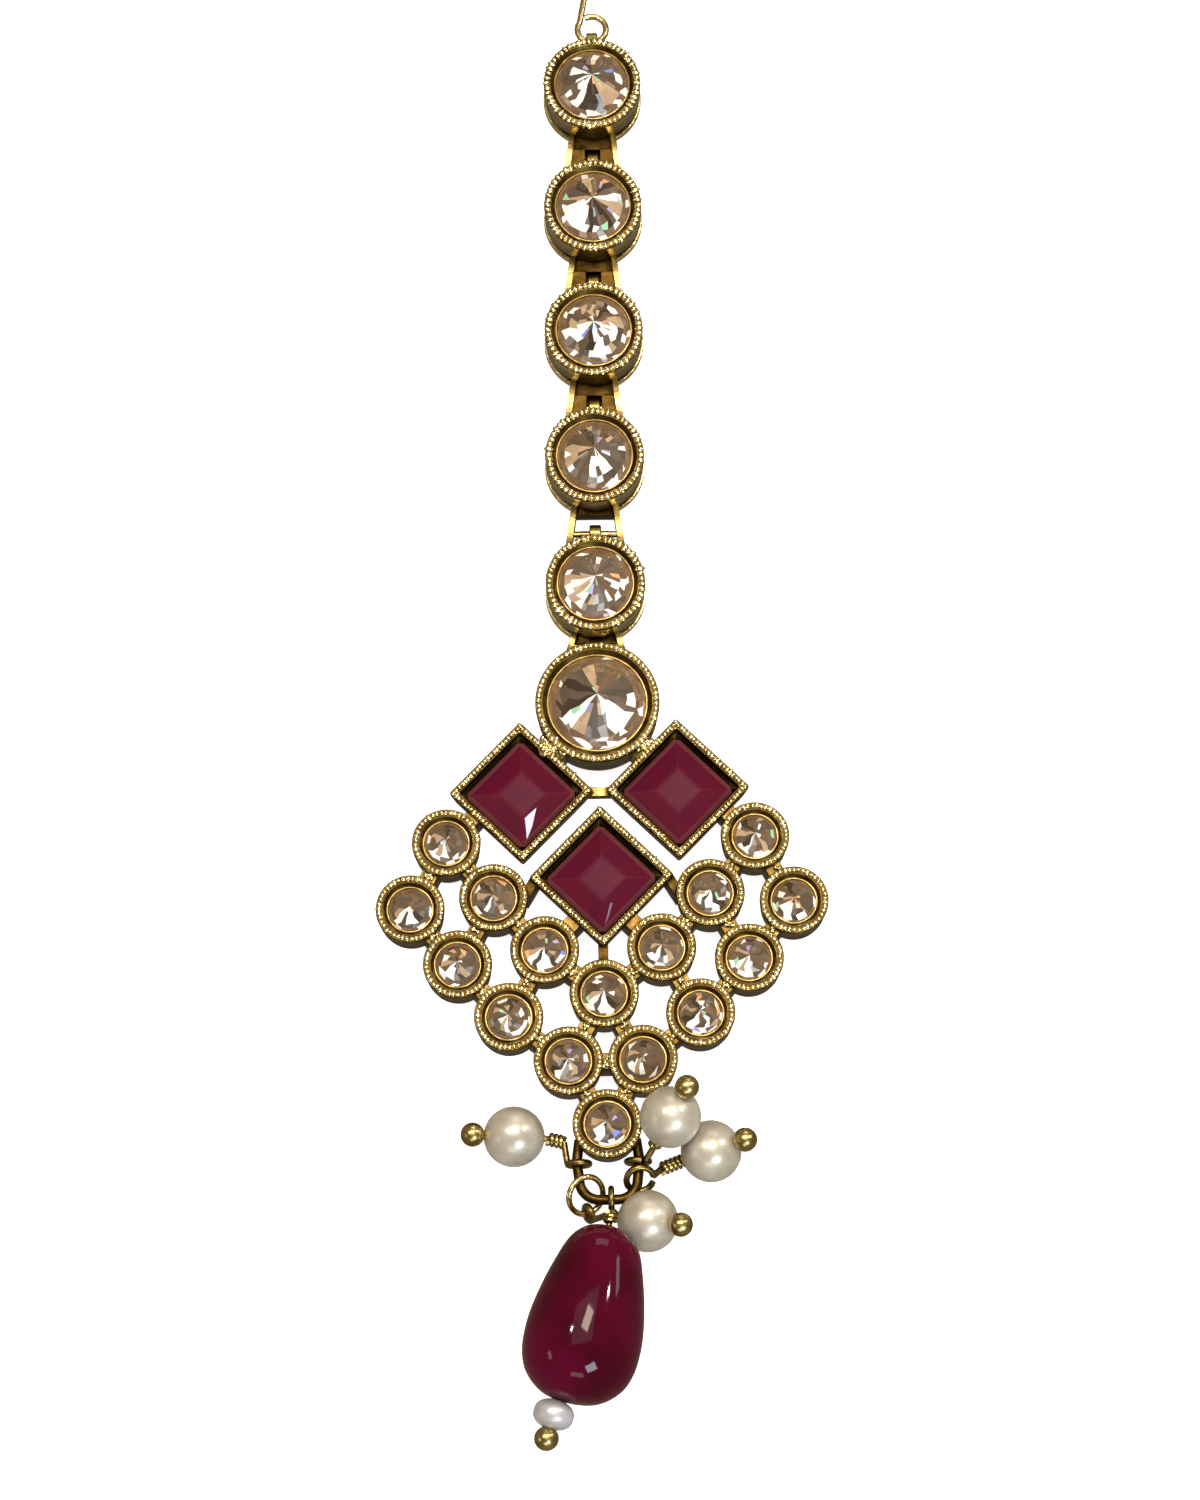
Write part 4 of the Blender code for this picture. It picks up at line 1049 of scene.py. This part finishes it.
rondelle_at = centre_of("rondelle_pearl")
rondelle = ball(1.0, 40, 20)
fuller = np.abs(rondelle["points"][:, 2:]) ** 0.8 * np.sign(rondelle["points"][:, 2:])
rondelle["points"] = np.column_stack([rondelle["points"][:, :2] * RONDELLE_RADIUS,
                                      fuller * RONDELLE_HALF])
add_piece("small_pearl", moved(pointing(rondelle, BORE_WAY), rondelle_at), WHITE,
          ["rondelle_pearl"], crease=180)

mouth = DROP_TOP - BORE_WAY * MOUTH_GAP
eye_at = RING_CENTRE + HOLD * RING_RADIUS
metal = head_pin(rondelle_at + BORE_WAY * (0.85 + BALL_OUT), BORE_WAY, mouth,
                 mouth - BORE_WAY * 0.75, eye_at, 0.50, np.cross(RING_NORMAL, HOLD), BORE_WAY)
add_piece("pin_drop", metal, GOLD, ["head_pin_drop"])

round_path = arc(RING_CENTRE, RING_RADIUS, HOLD, np.cross(RING_NORMAL, HOLD),
                 np.linspace(0, 360, 49)[:-1])
ring = tube(round_path, RING_WIRE, RING_NORMAL, 12, closed=True, dark=0.28)
add_piece("ring", ring, GOLD, ["jump_ring"])
print("drop from", np.round(DROP_TOP, 2), "towards", np.round(BODY_WAY, 2))

# %% [markdown]
# ## Hair hook
# The photo stops at the first link, and the hook beyond it is plain bent wire: a ring through the
# link's eye, a shank, a round bend and a short return.

# %% Hook
HOOK_RING, HOOK_LENGTH, HOOK_BEND, HOOK_RETURN, HOOK_WIRE = 1.0, 5.5, 1.2, 2.4, 0.22


def hook_metal():
    """Ring, shank, bend and return in one plane, which falls until the bend rests: its sine is
    (hinge height - wire - gap) / (ring + shank + bend)."""
    place = centre_of("link_stone_1")
    reach = HOOK_RING + HOOK_LENGTH + HOOK_BEND
    fall = math.asin((HINGE_Z - HOOK_WIRE - REST_GAP) / reach)
    up = np.array([0, math.cos(fall), -math.sin(fall)])
    across = np.array([1.0, 0, 0])
    ring_at = np.array([0, EYE_ABOVE, HINGE_Z]) + up * HOOK_RING
    ring = arc(ring_at, HOOK_RING, unit(up - 0.5 * across), unit(across + 0.5 * up),
               np.linspace(0, 330, 29))
    foot = ring_at + up * HOOK_LENGTH
    bend = arc(foot + across * HOOK_BEND, HOOK_BEND, -across, up, np.linspace(0, 180, 17))
    tip = bend[-1] - up * HOOK_RETURN
    path = np.concatenate([ring, along(ring[-1], bend[0], 5)[1:-1], bend, [tip]])
    radius = np.full(len(path), HOOK_WIRE)
    radius[-1] = 0.16
    wire = tube(path, radius, np.cross(across, up), 12, dark=0.3)
    return moved(moved(wire, turn=LEAN), (place[0], place[1], 0))


HOOK = add_piece("wire_hook", hook_metal(), GOLD, ["hair_hook"])
print("hook", [round(v / MM, 2) for v in HOOK.bound_box[0]])

# %% [markdown]
# ## Surface, light and camera
# The jewel lies on a ground so bright that shadows hardly show, in a room that is otherwise dim.
# The ground glows by itself and is hidden from glossy rays, since the metal and the teardrop show
# a dark room at their edges. A warm key and a cool fill light the jewel, an overhead and four far
# lights shape the balls and the drop, and two small sparks make points on the grains.

# %% Ground
GROUND_HALF, GROUND_DROP = 3.0, 0.00002


def ground():
    """A square just below the jewel, in metres."""
    material, _, shader = new_finish("pale_ground")
    set_inputs(shader, {
        "Base Color": (0.80, 0.795, 0.79, 1.0), "Emission Color": (1.0, 0.995, 0.99, 1.0),
        "Emission Strength": 0.92, "Roughness": 0.8, "Specular IOR Level": 0.2,
    })
    mesh = bpy.data.meshes.new("ground")
    half = GROUND_HALF
    mesh.from_pydata([(-half, -half, 0), (half, -half, 0), (half, half, 0), (-half, half, 0)],
                     [], [(0, 1, 2, 3)])
    mesh.materials.append(material)
    obj = in_scene("ground", mesh)
    obj.location.z = -GROUND_DROP
    obj.visible_glossy = False
    return obj


print("ground", [round(side, 1) for side in ground().dimensions], "m")

# %% Lights
AIM = (0, 0.01, 0)


def area(name, place, size, power, colour):
    data = bpy.data.lights.new(name, "AREA")
    data.shape = "RECTANGLE"
    data.size, data.size_y = size
    data.energy = power
    data.color = colour
    obj = in_scene(name, data)
    obj.location = place
    way = Vector(AIM) - Vector(place)
    obj.rotation_euler = way.to_track_quat("-Z", "Y").to_euler()


# Name, place in metres, size in metres, watts and colour
LIGHTS = [
    ("left_wall", (-0.60, -0.15, 0.30), (0.14, 0.08), 0.20, (1.0, 0.96, 0.90)),
    ("right_wall", (0.56, 0.26, 0.32), (0.16, 0.08), 0.30, (0.82, 0.90, 1.0)),
    ("far_wall", (0.10, 0.70, 0.40), (0.40, 0.20), 0.8, (1.0, 0.96, 0.90)),
    ("near_wall", (-0.10, -0.70, 0.40), (0.30, 0.16), 0.7, (1.0, 0.98, 0.96)),
    ("overhead", (0.0, 0.12, 0.56), (0.40, 0.34), 0.58, (1.0, 0.97, 0.92)),
    ("warm_key", (0.05, 0.11, 0.48), (0.12, 0.14), 1.5, (1.0, 0.86, 0.72)),
    ("cool_fill", (0.15, -0.32, 0.32), (0.15, 0.12), 1.3, (0.72, 0.86, 1.0)),
    ("left_spark", (-0.17, 0.08, 0.44), (0.03, 0.03), 0.50, (1.0, 0.93, 0.80)),
    ("right_spark", (0.30, 0.16, 0.34), (0.03, 0.03), 0.50, (1.0, 0.96, 0.88)),
]
for row in LIGHTS:
    area(*row)

world = bpy.data.worlds.new("room")
world.use_nodes = True
background = world.node_tree.nodes["Background"]
set_inputs(background, {"Color": (0.50, 0.42, 0.30, 1.0), "Strength": 0.45})
bpy.context.scene.world = world
bpy.context.scene.view_settings.view_transform = "Standard"

# %% [markdown]
# The camera stands 300 mm away, 15 degrees off plumb towards the drop, turned a little about its
# own view, with a lens whose frame is 80 by 100 mm at the jewel.

# %% Camera
TARGET = Vector((0.10, 8.82, 2.0)) * MM
DISTANCE, FRAME_HEIGHT, SENSOR = 300 * MM, 100 * MM, 36
ELEVATION, ROLL = math.radians(75), math.radians(-1.35)
back = Vector((0, -math.cos(ELEVATION), math.sin(ELEVATION)))
right = Vector((1, 0, 0))
up = back.cross(right)
turned_right = right * math.cos(ROLL) + up * math.sin(ROLL)
turned_up = up * math.cos(ROLL) - right * math.sin(ROLL)
camera = in_scene("camera", bpy.data.cameras.new("camera"))
camera.data.sensor_width = SENSOR
camera.data.lens = SENSOR * DISTANCE / FRAME_HEIGHT
camera.data.clip_start, camera.data.clip_end = 0.01, 20
camera.matrix_world = Matrix.Translation(TARGET + back * DISTANCE) @ Matrix(
    (turned_right, turned_up, back)).transposed().to_4x4()
bpy.context.scene.camera = camera
print("lens", round(camera.data.lens, 1), "mm")
